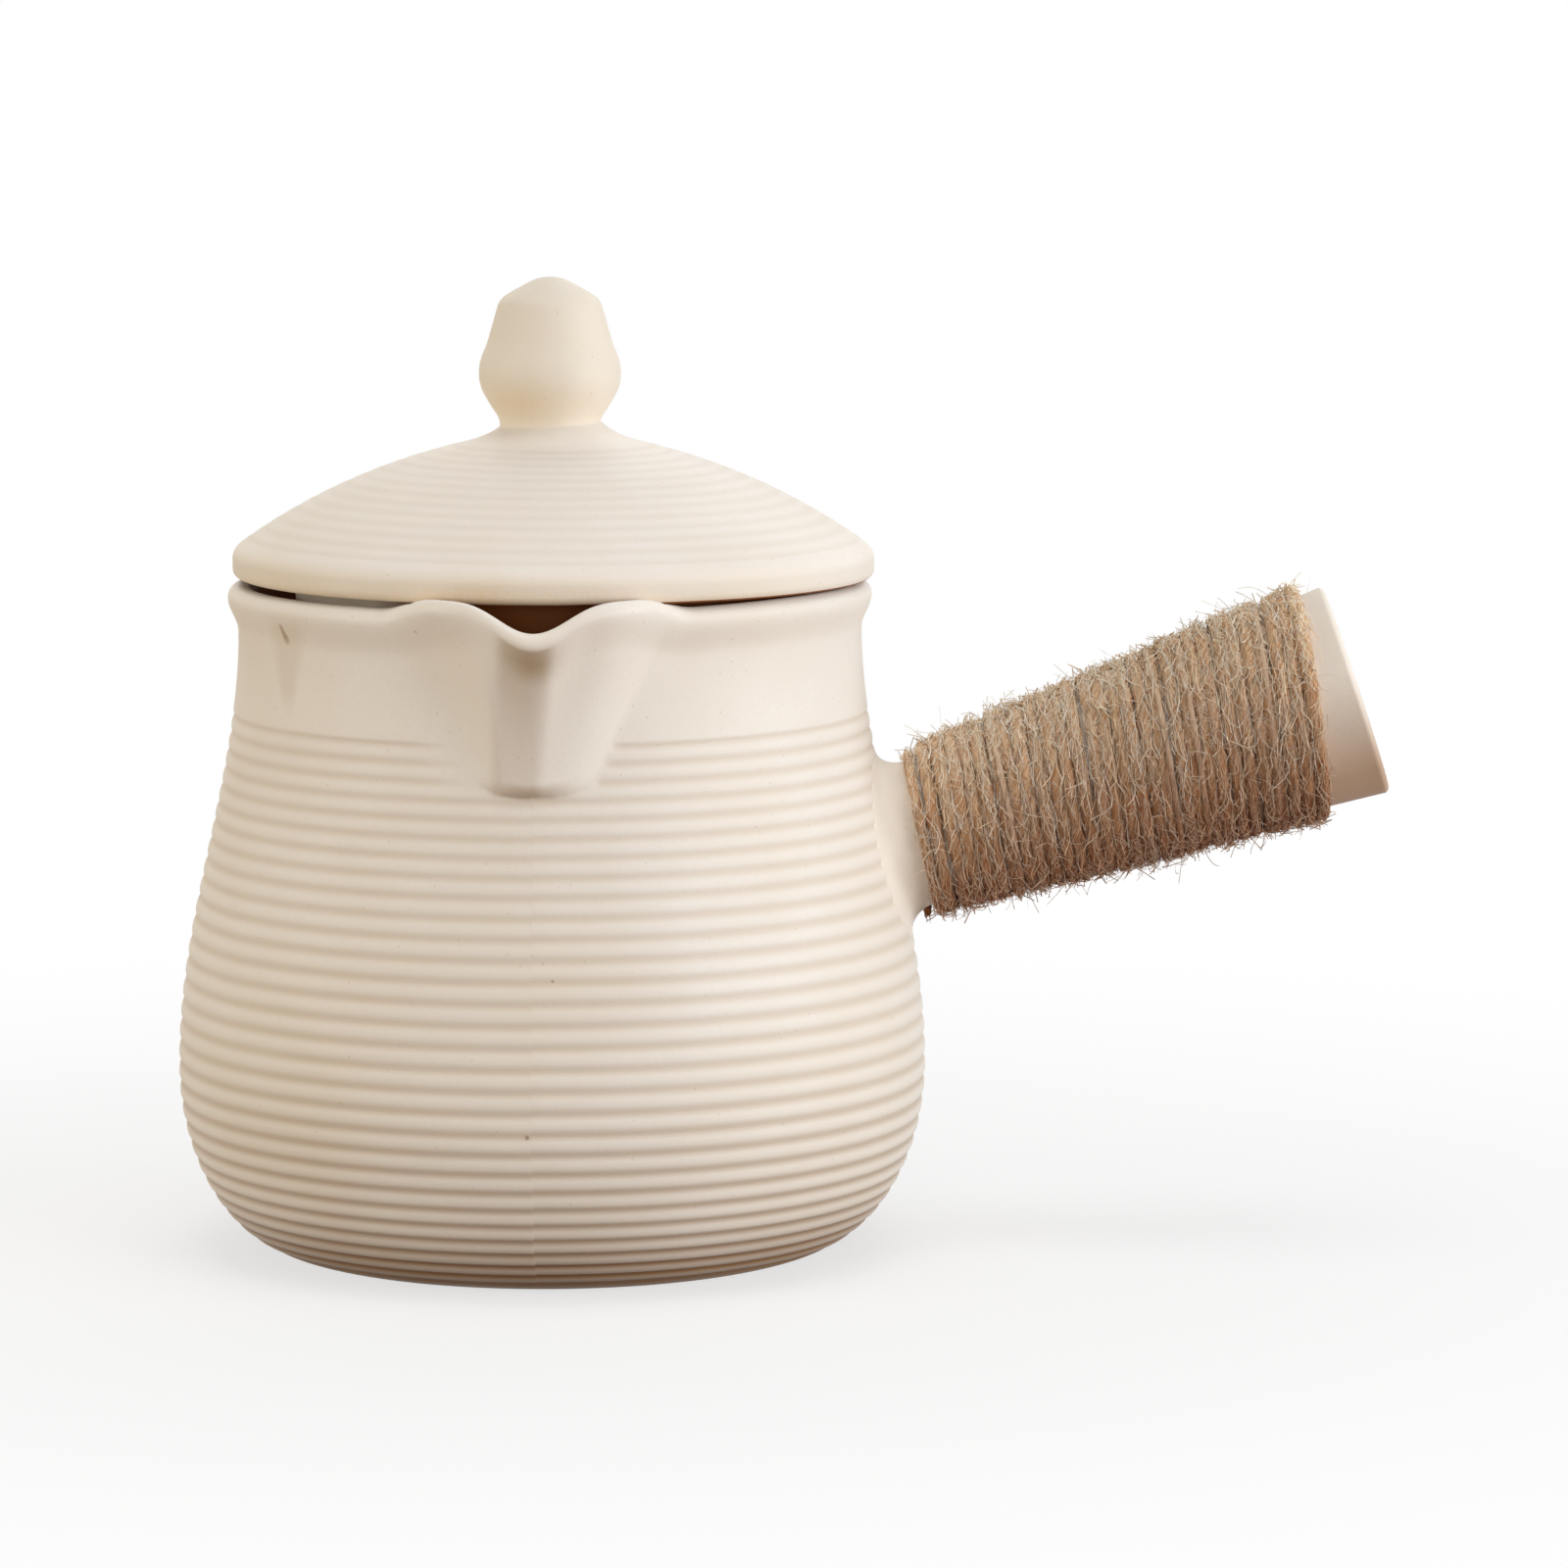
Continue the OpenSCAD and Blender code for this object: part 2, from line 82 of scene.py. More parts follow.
class Wire:
    """A socket of a node tree, or the bare tree, that makes nodes and joins in sums."""

    def __init__(self, tree, socket=None):
        self.tree = tree
        self.socket = socket

    def node(self, kind, inputs=(), out=0, **settings):
        """Adds a node: its settings first, then the values or links of its inputs."""
        made = self.tree.nodes.new(kind)
        for name, value in settings.items():
            setattr(made, name, value)
        for key, value in dict(inputs).items():
            self.feed(made.inputs[key], value)
        return Wire(self.tree, made.outputs[out])

    def feed(self, socket, value):
        if isinstance(value, Wire):
            self.tree.links.new(value.socket, socket)
        elif socket.type == "RGBA" and len(value) == 3:
            socket.default_value = (*value, 1)
        else:
            socket.default_value = value

    def output(self, name):
        """Another output of the node that this socket belongs to."""
        return Wire(self.tree, self.socket.node.outputs[name])

    def geo(self, kind, inputs=(), **settings):
        return self.node(f"GeometryNode{kind}", inputs, **settings)

    def shade(self, kind, inputs=(), **settings):
        return self.node(f"ShaderNode{kind}", inputs, **settings)

    def close(self, kind, name):
        """Ends the tree: this socket goes to an input of the last node."""
        self.feed(self.tree.nodes.new(kind).inputs[name], self)

    def math(self, operation, *others, **settings):
        return self.shade("Math", enumerate((self, *others)), operation=operation, **settings)

    def clamp(self):
        """Kept between 0 and 1."""
        return self.math("ADD", 0.0, use_clamp=True)

    def capped(self):
        """Kept at 1 or below."""
        return self.math("MINIMUM", 1.0)

    __add__, __radd__ = both_ways("ADD")
    __sub__, __rsub__ = both_ways("SUBTRACT")
    __mul__, __rmul__ = both_ways("MULTIPLY")
    __truediv__, __rtruediv__ = both_ways("DIVIDE")
    __pow__, _ = both_ways("POWER")
    __gt__, _ = both_ways("GREATER_THAN")
    __lt__, _ = both_ways("LESS_THAN")

    def __neg__(self):
        return self.math("MULTIPLY", -1.0)

    def __abs__(self):
        return self.math("ABSOLUTE")


def mix(a, b, t):
    """The value a share t of the way from a to b, for numbers and for sockets."""
    return a + (b - a) * t


def ease(t):
    """A share that starts and ends gently."""
    return t * t * (3 - 2 * t)


def wave(t):
    """One at 0, falling gently to nothing at 1, for a socket."""
    return ((t * math.pi).math("COSINE") + 1) / 2


def combine(x, y, z):
    """A vector from three values, at least one of them a socket."""
    bare = next(v for v in (x, y, z) if isinstance(v, Wire))
    return bare.shade("CombineXYZ", {"X": x, "Y": y, "Z": z})


def split(vector):
    """The three parts of a vector socket."""
    x = vector.shade("SeparateXYZ", {0: vector})
    return x, x.output("Y"), x.output("Z")


# %% [markdown]
# A geometry tree here has named inputs for its sizes. `grow` hangs trees on a mesh as modifiers, sets
# their inputs, and keeps the result as a plain mesh with no modifier left.


# %% Make a geometry tree and grow a mesh with it
def in_metres(sizes):
    return {name: value * MM for name, value in sizes.items()}


def geometry_tree(name, sizes, whole=()):
    """A tree with a named input for each size, some of them whole numbers. Returns it and its inputs."""
    tree = bpy.data.node_groups.new(name, "GeometryNodeTree")
    numbers = {label: "Int" if label in whole else "Float" for label in sizes}
    for label, kind in {"Geometry": "Geometry", **numbers, "Material": "Material"}.items():
        tree.interface.new_socket(label, in_out="INPUT", socket_type=f"NodeSocket{kind}")
    tree.interface.new_socket("Geometry", in_out="OUTPUT", socket_type="NodeSocketGeometry")
    start = tree.nodes.new("NodeGroupInput")
    inputs = {s.name.lower().replace(" ", "_"): Wire(tree, s) for s in start.outputs if s.name}
    return Wire(tree), SimpleNamespace(**inputs)


def end_tree(geometry, material):
    """Ends a tree: real geometry in place of instances, shaded smooth, with its material."""
    real = geometry.geo("RealizeInstances", {"Geometry": geometry})
    smooth = geometry.geo("SetShadeSmooth", {"Geometry": real})
    painted = geometry.geo("SetMaterial", {"Geometry": smooth, "Material": material})
    painted.close("NodeGroupOutput", "Geometry")
    print("tree", painted.tree.name, len(painted.tree.nodes), "nodes")
    return painted.tree


def show(name, data):
    """A new object in the scene."""
    made = bpy.data.objects.new(name, data)
    bpy.context.scene.collection.objects.link(made)
    return made


def grow(name, mesh, *stages):
    """Runs trees on a mesh, each with its sizes by name, and returns the plain result as an object."""
    piece = show(name, mesh)
    for tree, sizes in stages:
        modifier = piece.modifiers.new(tree.name, "NODES")
        modifier.node_group = tree
        for item in tree.interface.items_tree:
            if item.in_out == "INPUT" and item.name in sizes:
                modifier[item.identifier] = sizes[item.name]
    depsgraph = bpy.context.evaluated_depsgraph_get()
    result = piece.evaluated_get(depsgraph)
    plain = bpy.data.meshes.new_from_object(result, preserve_all_data_layers=True, depsgraph=depsgraph)
    piece.modifiers.clear()
    piece.data = plain
    plain.name = name
    print(name, len(plain.vertices), "points,", sum(len(p.vertices) - 2 for p in plain.polygons), "triangles")
    return piece


# %% [markdown]
# ## Finishes
#
# A material is one Principled shader. What changes over the surface comes from a short function, and what
# is the same all over is a plain number on the shader's own socket. Patterns read Object coordinates, so
# they stay on the clay when the lid is lifted. Colours are written as they look on a screen.


# %% Helpers for materials
def srgb(*levels):
    """A screen colour, 0 to 255, as the linear light that shaders use."""
    return tuple(((v / 255 + 0.055) / 1.055) ** 2.4 for v in levels)


def blend(a, b, share):
    """A colour between two colours. A Math node would turn them grey."""
    bare = next(v for v in (a, b, share) if isinstance(v, Wire))
    return bare.shade("Mix", {0: share, 6: a, 7: b}, out=2, data_type="RGBA")


def tinted(colour, tone, share):
    """A colour as seen through a tone, which darkens it without losing its pattern."""
    return colour.shade("Mix", {0: share, 6: colour, 7: tone}, out=2, data_type="RGBA", blend_type="MULTIPLY")


def noise(place, scale, detail=2.0, roughness=0.5):
    return place.shade("TexNoise", {"Vector": place, "Scale": scale, "Detail": detail, "Roughness": roughness})


def spread(value, gain):
    """Noise stays near one half. This pulls it apart and keeps it between 0 and 1."""
    return ((value - 0.5) * gain + 0.5).clamp()


def carried(place, name):
    """A value that the mesh carries at its points."""
    return place.shade("Attribute", out="Fac", attribute_name=name)


def bump(height, distance, strength):
    return height.shade("Bump", {"Height": height, "Distance": distance, "Strength": strength})


def shader_tree(owner):
    """The emptied node tree of a material or a world."""
    owner.use_nodes = True
    owner.node_tree.nodes.clear()
    return Wire(owner.node_tree)


def surface(name, paint, **constant):
    """A material from paint(place), which gives the inputs that change over the surface."""
    made = bpy.data.materials.new(name)
    bare = shader_tree(made)
    place = bare.shade("TexCoord", out="Object")
    shader = bare.shade("BsdfPrincipled", {**constant, **paint(place)})
    shader.close("ShaderNodeOutputMaterial", "Surface")
    print("material", name, len(made.node_tree.nodes), "nodes")
    return made


# %% [markdown]
# ### Cream clay
#
# The pot is unglazed cream stoneware with a dry, slightly silky skin. Close up it has soft warm clouds, a
# fine sandy grain and a few brown iron specks. The clay is a little darker where the mesh says that it is
# sunk: dust and tea in the grooves, and painted shade. The inside of the pot is dark brown. Under the lip a
# brown mark is partly tea and partly painted shade, and towards the floor the clay is painted darker as
# shade. A honey tone, partly the clay's own colour and partly painted shade, lies on the lid's lower edge
# and ring and on the knob's lower part, more to the left. The lid's ring and lowest edge, behind the lip
# and on the right, are painted dark brown as shade.


# %% Clay
SPECK, DUST_AND_SHADE_TAN, HONEY_AND_SHADE = srgb(134, 92, 52), srgb(190, 162, 122), srgb(226, 200, 158)
INSIDE_AND_SHADE_BROWN, DRIP_AND_SHADE_BROWN = srgb(136, 73, 4), srgb(150, 114, 62)
CLOUD_SCALE, GRAIN_SCALE, SAND_SCALE, GRAIN_HEIGHT = 38, 1500, 5200, 0.042
FINE_SPECKS, BROAD_SPECKS = (620, 0.13, 0.30), (130, 0.045, 0.08)
IRON_SPOTS = ((1.0, -48.8, 45.7, 0.4), (2.3, -49.2, 43.3, 0.4), (-1.1, -50.9, 23.0, 0.45),
              (27.6, -33.6, 94.0, 0.26), (30.7, -30.8, 93.8, 0.26))
NECK_STREAK = ((-34.5, -25.9, 87.3, 0.55), (-34.3, -25.8, 86.8, 0.65),
               (-34.1, -25.7, 86.2, 0.8), (-33.9, -25.7, 85.6, 0.9))
STAIN_X, STAIN_LOW, STAIN_HIGH = -33.7, 75.5, 90.0
STAIN_HALF_LOW, STAIN_HALF_HIGH, STAIN_EDGE = 0.8, 4.0, 1.6
RING_SHADE_LEFT, RING_SHADE_BACK, RING_SHADE_FADE = -22.2, -8.0, 6.0
RING_SHADE_TOP, EDGE_SHADE_TOP, EDGE_SHADE_X = -0.1, 0.3, 9.0
INSIDE_FROM, INSIDE_FADE = 0.72, 0.16
FOOT_PAINTED_SHADE, FOOT_SHADE_REACH, LOW_GROOVE_SHADE_REACH, LOW_GROOVE_SHADE_SHARE = (0.31, 0.18, 0.085), 12.5, 30.0, 0.7


def specks(place, scale, size, chance):
    """Small round dots: one in each cell of a crowd, where the cell's own number is high enough."""
    cell = place.shade("TexVoronoi", {"Vector": place, "Scale": scale}, out="Distance")
    pick, _, _ = split(cell.output("Color"))
    return (1 - cell / size).clamp() * (pick > 1 - chance)


def spot(place, *centre_and_radius):
    """One dot at a point, with a soft outer half."""
    *centre, radius = centre_and_radius
    away = place.shade("VectorMath", {0: place, 1: Vector(centre) * MM}, out="Value", operation="DISTANCE")
    return ((1 - away / (radius * MM)) * 2).clamp()


def ring_painted_shade(place, height):
    """Painted shade on the lid's ring, from the pouring lip round to the right, and on the lid's lowest edge there,
    where they sit in the dark gap under the lid.
    """
    x, y, _ = split(place)
    front = ((x / MM - RING_SHADE_LEFT) / RING_SHADE_FADE).clamp() * (y / (RING_SHADE_BACK * MM)).clamp()
    return front * (height / MM < mix(RING_SHADE_TOP, EDGE_SHADE_TOP, (x / (EDGE_SHADE_X * MM)).clamp()))


def neck_stain(place):
    """A pale tan smear on the left of the neck, which narrows as it runs down."""
    x, y, z = split(place)
    level = ((z / MM - STAIN_LOW) / (STAIN_HIGH - STAIN_LOW)).clamp()
    across = abs(x / MM - STAIN_X) / mix(STAIN_HALF_LOW, STAIN_HALF_HIGH, level)
    ends = (level * 4).clamp() * ((1 - level) * 5).clamp()
    return ((1 - across) * STAIN_EDGE).clamp() * ends * (y < 0.0)


def clay(pale, warm, honey=None, grooves=0.42):
    """Clay of two tones. Honey, a tone that is partly the clay's own and partly painted shade, has a level on the
    outline and a reach, a share, and a place and reach across.
    """
    def paint(place):
        clouds = spread(noise(place, CLOUD_SCALE, 3), 2.2)
        grain = noise(place, GRAIN_SCALE, 3, 0.65)
        sand = noise(place, SAND_SCALE, 1)
        colour = blend(pale, warm, clouds)
        across, _, above_floor = split(place)
        if honey:
            level, up_down, share, middle, beside = honey
            outline = place.shade("Attribute", out="Vector", attribute_name="plain")
            _, _, height = split(outline)
            # Honey tone: partly the clay's own colour, partly painted shade on the lower edge and neck, more on the
            # left
            near = ((1 - abs(height / MM - level) / up_down).clamp()
                    * (1 - abs(across / MM - middle) / beside).clamp())
            colour = blend(colour, HONEY_AND_SHADE, near * share * mix(0.6, 1.0, clouds))
        marks = [
            (warm, spread(grain, 3) * 0.42),
            # Dust in the grooves, and painted shade where they are sunk
            (DUST_AND_SHADE_TAN, carried(place, "sunk") * grooves),
            # The lip's brown mark: partly tea, partly painted shade
            (DRIP_AND_SHADE_BROWN, carried(place, "drip")),
            (SPECK, specks(place, *FINE_SPECKS) * 0.3),
            (SPECK, specks(place, *BROAD_SPECKS) * 0.8),
            *((SPECK, spot(place, *iron) * 0.8) for iron in IRON_SPOTS),
            *((DRIP_AND_SHADE_BROWN, spot(place, *drop) * 0.5) for drop in NECK_STREAK),
            (DUST_AND_SHADE_TAN, neck_stain(place) * 0.22),
        ]
        for tone, share in marks:
            colour = blend(colour, tone, share)
        # The inside of the pot is dark brown. On the lid the same brown is painted shade on the ring and lowest
        # edge
        brown = ((carried(place, "inside") - INSIDE_FROM) / INSIDE_FADE).clamp()
        if honey:
            brown = brown.math("MAXIMUM", ring_painted_shade(place, height))
        colour = blend(colour, blend(INSIDE_AND_SHADE_BROWN, SPECK, clouds * 0.15), brown)
        # Painted shade: the clay grows darker and browner towards the floor, more in the grooves there
        low = (1 - above_floor / (FOOT_SHADE_REACH * MM)).clamp()
        low_groove_shade = (1 - above_floor / (LOW_GROOVE_SHADE_REACH * MM)).clamp() * carried(place, "sunk")
        return {
            "Base Color": tinted(colour, FOOT_PAINTED_SHADE, (low * low + low_groove_shade * LOW_GROOVE_SHADE_SHARE).clamp()),
            "Roughness": mix(0.5, 0.64, clouds) - carried(place, "bead") * 0.2,
            "Normal": bump(grain + sand * 0.5, GRAIN_HEIGHT * MM, 0.6),
        }
    return paint


DRY = {"Specular IOR Level": 0.3}
LID_HONEY_AND_SHADE, KNOB_HONEY_AND_SHADE = (0.4, 4.2, 1.2, -8.0, 55.0), (23.8, 4.2, 0.8, -3.5, 12.0)
pot_clay = surface("pot_clay", clay(srgb(242, 235, 227), srgb(236, 226, 213)), **DRY)
lid_clay = surface("lid_clay", clay(srgb(243, 236, 228), srgb(237, 227, 214), LID_HONEY_AND_SHADE, grooves=0.12), **DRY)
knob_clay = surface("knob_clay", clay(srgb(237, 228, 216), srgb(230, 218, 200), KNOB_HONEY_AND_SHADE), **DRY)

# %% [markdown]
# ### Jute
#
# The twine is raw jute: dull brown fibres, twisted so that paler and darker streaks run along the strand.
# The strand's mesh carries how far along and how far around each point is, and the streaks are noise
# drawn long on those two. Loose fibres are paler, partly their own colour and partly painted light for the
# light that passes through them, and each has its own tint. The winding's underside is painted darker and
# browner, as shade.


# %% Jute strand and loose fibre
# These jute colours are paler than raw jute: painted light that makes up for the shade the fibres cast on each
# other
JUTE_DARK, JUTE_TAN, JUTE_PALE = srgb(236, 182, 126), srgb(255, 236, 202), srgb(255, 249, 235)
STRAND_DARK, STRAND_TAN = srgb(210, 146, 90), srgb(255, 225, 178)
JUTE_UNDER_SHADE = (0.36, 0.16, 0.065)
PLY_DARK, PLY_PALE = srgb(222, 178, 136), srgb(252, 228, 196)
STREAKS_ALONG, STREAKS_AROUND, STREAK_HEIGHT = 130, 2.4, 0.4


def jute_strand(place, dark=STRAND_DARK, tan=STRAND_TAN):
    along = carried(place, "along") * STREAKS_ALONG
    around = carried(place, "around") * (2 * math.pi)
    lane = combine(along, around.math("COSINE") * STREAKS_AROUND, around.math("SINE") * STREAKS_AROUND)
    streaks = noise(lane, 1.0, 4, 0.7)
    patches = spread(noise(place, 120, 2), 2)
    colour = blend(dark, tan, spread(streaks, 3.5))
    colour = blend(colour, JUTE_PALE, spread(noise(lane, 2.3, 2), 4) * 0.5 * patches)
    return {
        # Painted shade: darker and browner on the winding's underside
        "Base Color": tinted(colour, JUTE_UNDER_SHADE, carried(place, "under")),
        "Normal": bump(streaks, STREAK_HEIGHT * MM, 0.9),
    }


def jute_fibre(place):
    tint = carried(place, "tint")
    brown = blend(JUTE_DARK, JUTE_TAN, (tint * 2.2).clamp())
    colour = blend(brown, JUTE_PALE, (tint * 2 - 1).clamp())
    # Painted shade underneath, a little less on paler fibres
    return {"Base Color": tinted(colour, JUTE_UNDER_SHADE, carried(place, "under") * (1 - tint * 0.2))}


def pale_strand(place):
    return jute_strand(place, PLY_DARK, PLY_PALE)


NAP = {"Sheen Weight": 0.2, "Sheen Roughness": 0.4, "Sheen Tint": (1.0, 0.88, 0.75, 1.0)}
strand_jute = surface("strand_jute", jute_strand, Roughness=0.85, **NAP)
ply_jute = surface("ply_jute", pale_strand, Roughness=0.85, **NAP)
fibre_jute = surface("fibre_jute", jute_fibre, Roughness=0.6, **NAP)

# %% [markdown]
# ## Forms from the wheel
#
# The pot, the lid and the knob are round: one outline carried about an upright axis, with grooves that a
# tool drew while the form turned. A Screw modifier could carry the outline, but it couldn't keep the
# grooves apart from the smooth wall, which the pouring lip needs later. This tree takes the outline as a
# chain of points, each with a groove number, sinks the grooves into the clay, and carries the chain round.


# %% The tree that carries an outline round
WELD = 0.003


def named(bare, name, data_type="FLOAT"):
    return bare.geo("InputNamedAttribute", {"Name": name}, data_type=data_type)


def store(geometry, name, value, data_type="FLOAT", domain="POINT"):
    return geometry.geo("StoreNamedAttribute", {"Geometry": geometry, "Name": name, "Value": value},
                        data_type=data_type, domain=domain)


def move(geometry, place):
    return geometry.geo("SetPosition", {"Geometry": geometry, "Position": place})


def thrown_form():
    bare, size = geometry_tree(
        "Thrown form", ("Columns", "Focus", "Groove Depth", "Groove Sharpness", "Depth Fade"), whole=("Columns",))
    chain = bare.geo("MeshToCurve", {"Mesh": size.geometry})
    _, _, level = split(bare.geo("InputPosition"))
    fading = (1 - level * size.depth_fade).clamp()
    sunk = wave(named(bare, "groove") * 2) ** size.groove_sharpness * fading
    run_x, _, run_z = split(bare.geo("InputTangent"))
    depth = sunk * size.groove_depth
    ribbed = bare.geo("SetPosition", {"Geometry": chain, "Offset": combine(run_z * depth, 0, -run_x * depth)})
    rows = bare.geo("AttributeDomainSize", {"Geometry": ribbed}, component="CURVE")
    sheet = bare.geo("MeshGrid", {
        "Size X": 1, "Size Y": rows - 1, "Vertices X": size.columns + 1, "Vertices Y": rows})
    share, level, _ = split(bare.geo("InputPosition"))

    def row_of(value, data_type="FLOAT"):
        return bare.geo("SampleIndex", {"Geometry": ribbed, "Value": value, "Index": level + rows / 2},
                        data_type=data_type)

    for label in ("skin", "wall"):
        sheet = store(sheet, label, row_of(named(bare, label)))
    sheet = store(sheet, "plain", row_of(named(bare, "plain", "FLOAT_VECTOR"), "FLOAT_VECTOR"), "FLOAT_VECTOR")
    sheet = store(sheet, "sunk", row_of(sunk))
    sheet = store(sheet, "inside", 1 - row_of(named(bare, "skin")))
    radius, _, height = split(row_of(bare.geo("InputPosition"), "FLOAT_VECTOR"))
    turn = share * (size.focus + (1 - size.focus) * 4 * share * share) * (2 * math.pi)
    form = move(sheet, combine(radius * turn.math("SINE"), -radius * turn.math("COSINE"), height))
    form = bare.geo("MergeByDistance", {"Geometry": form, "Distance": WELD * MM})
    form = bare.geo("FlipFaces", {"Mesh": form})
    return end_tree(form, size.material)


THROWN_FORM = thrown_form()

# %% [markdown]
# The outlines are short Python functions in millimetres. Their sizes are the CAD model's, a few of them
# set a little closer to the photograph. A row holds a radius, a height, a groove number, a skin value and
# the wall's radius. A whole groove number is the bottom of a groove and a half is the crest of a rib, so
# the smooth parts are all crest. The skin value is 1 outside and 0 inside.

# %% Rows of an outline
CREST = 0.5


def bow(a, b, c, t):
    """A point on the curve that leaves a towards b and comes to c from b."""
    a, b, c = (np.array(point, float) for point in (a, b, c))
    return mix(mix(a, b, t), mix(b, c, t), t)


def steps(count, start=0.0, end=1.0):
    """Evenly spaced values that stop short of the end, which the next stretch begins with."""
    return np.linspace(start, end, count + 1)[:-1]


def profile(name, rows):
    """The outline as a chain of points and edges that carries its values."""
    table = np.array(rows, float)
    places = np.column_stack([table[:, 0], np.zeros(len(table)), table[:, 1]]) * MM
    mesh = bpy.data.meshes.new(name)
    mesh.from_pydata(places.tolist(), [(i, i + 1) for i in range(len(table) - 1)], [])
    for label, column, unit in (("groove", 2, 1), ("skin", 3, 1), ("wall", 4, MM)):
        values = np.ascontiguousarray(table[:, column] * unit, np.float32)
        mesh.attributes.new(label, "FLOAT", "POINT").data.foreach_set("value", values)
    mesh.attributes.new("plain", "FLOAT_VECTOR", "POINT").data.foreach_set(
        "vector", np.ascontiguousarray(places.ravel(), np.float32))
    print(name, len(table), "rows")
    return mesh


def spaced(points, at):
    """Points at the given distances along a line of points."""
    run = np.concatenate([[0], np.cumsum(np.hypot(*np.diff(points, axis=0).T))])
    return np.column_stack([np.interp(at, run, column) for column in points.T])


def length(points):
    return np.hypot(*np.diff(points, axis=0).T).sum()


# %% The pot's wall
FOOT_R, FOOT_RING, FOOT_RECESS = 34.4, 6.0, 1.2
BELLY_R, BELLY_Z, FULLNESS = 51.0, 25.0, 1.03
WAIST_R, WAIST_Z = 42.3, 84.6
RIM_R, RIM_Z, RIM_T = 43.7, 90.9, 3.7
WALL, FLOOR_Z, FLOOR_R = 4.0, 5.0, 30.0
RIM_ROUND = RIM_T / 2
SEAT_R, RIM_TURN_Z = RIM_R - RIM_ROUND, RIM_Z - RIM_ROUND
MOUTH_R = RIM_R - RIM_T
BEAK_Z = 66.8


def wall_r(z, low, belly, waist, rim, low_z):
    """Radius of the wall at a height, outside or inside."""
    z = np.asarray(z, float)
    bowl = mix(low, belly, np.sqrt(np.clip(1 - ((BELLY_Z - z) / (BELLY_Z - low_z)) ** 2, 0, 1)))
    body = mix(belly, waist, ease(np.clip((z - BELLY_Z) / (WAIST_Z - BELLY_Z), 0, 1) ** FULLNESS))
    neck = mix(waist, rim, ease(np.clip((z - WAIST_Z) / (RIM_TURN_Z - WAIST_Z), 0, 1)))
    return np.where(z < BELLY_Z, bowl, np.where(z < WAIST_Z, body, neck))


def outer_r(z):
    return wall_r(z, FOOT_R, BELLY_R, WAIST_R, RIM_R, 0)


def inner_r(z):
    return wall_r(z, FLOOR_R, BELLY_R - WALL, WAIST_R - WALL, MOUTH_R, FLOOR_Z)


# %% The pot's rows
GROOVES, GROOVE_TOP_Z, GROOVE_LOW_Z, CROWDING = 30, 73.15, 1.5, 1.17
RIB_ROWS, HALF_RIB = 8, 0.8


def pot_rows():
    rows = []

    def add(r, z, groove=CREST, skin=1.0):
        rows.append((float(r), float(z), groove, skin, float(outer_r(min(z, RIM_TURN_Z)))))

    for t in steps(6):
        add(FLOOR_R * t, FLOOR_Z, skin=0)
    for a in steps(12, 0, math.pi / 2):
        add(mix(FLOOR_R, BELLY_R - WALL, math.sin(a)), mix(BELLY_Z, FLOOR_Z, math.cos(a)), skin=0)
    for z in (*steps(14, BELLY_Z, BEAK_Z), *steps(30, BEAK_Z, RIM_TURN_Z)):
        add(inner_r(z), z, skin=0)
    for a in steps(14, math.pi, 0):
        skin = (1 + math.cos(a)) / 2
        add(SEAT_R + RIM_ROUND * math.cos(a), RIM_TURN_Z + RIM_ROUND * math.sin(a), skin=skin)

    line_z = np.linspace(GROOVE_TOP_Z, GROOVE_LOW_Z, 600)
    line = np.column_stack([outer_r(line_z), line_z])
    ribs = GROOVES - 1
    count = np.arange(ribs * RIB_ROWS + 1) / RIB_ROWS
    ribbed = spaced(line, length(line) * count / ribs - CROWDING * np.sin(2 * math.pi * count / ribs))
    for z in steps(26, RIM_TURN_Z, GROOVE_TOP_Z + HALF_RIB):
        add(outer_r(z), z)
    for t in steps(4):
        z = GROOVE_TOP_Z + HALF_RIB * (1 - t)
        add(outer_r(z), z, CREST + t * CREST)
    for (r, z), number in zip(ribbed, count):
        add(r, z, number)
    turn = math.acos(1 - GROOVE_LOW_Z / BELLY_Z)
    for a in np.linspace(turn, 0, 12)[1:]:
        share = min(1, 4 * (1 - a / turn))
        add(mix(FOOT_R, BELLY_R, math.sin(a)), BELLY_Z * (1 - math.cos(a)), share * CREST)
    ring_in = FOOT_R - FOOT_RING
    for t in (0.5, 1):
        add(FOOT_R - FOOT_RING * t, 0)
    for t in (0.5, 1):
        add(ring_in - FOOT_RECESS * t, FOOT_RECESS * t)
    for t in np.linspace(0, 1, 6)[1:]:
        add((ring_in - FOOT_RECESS) * (1 - t), FOOT_RECESS)
    return rows


pot_outline = profile("pot_outline", pot_rows())

# %% [markdown]
# ## The pulled lip
#
# The pouring lip isn't a spout stuck on. The potter pulls the soft rim out and down with one finger, and
# a blunt keel of clay runs from it into the wall. Sculpting could do that by hand, but a rule keeps both
# sides true: this tree slides the columns of the wall together so that an edge of the mesh follows the
# keel's crease, pushes the wall out by a swell that is widest at the rim, dips the rim in the middle, and
# smooths the grooves away where the keel covers them. The shoulders beside the dip stay low under the lid's
# edge, so that the lid can rest on them. The tree also gives the wall the mould's seam, which shows under
# the lip as a faint line where the two halves of the grooves don't quite meet.


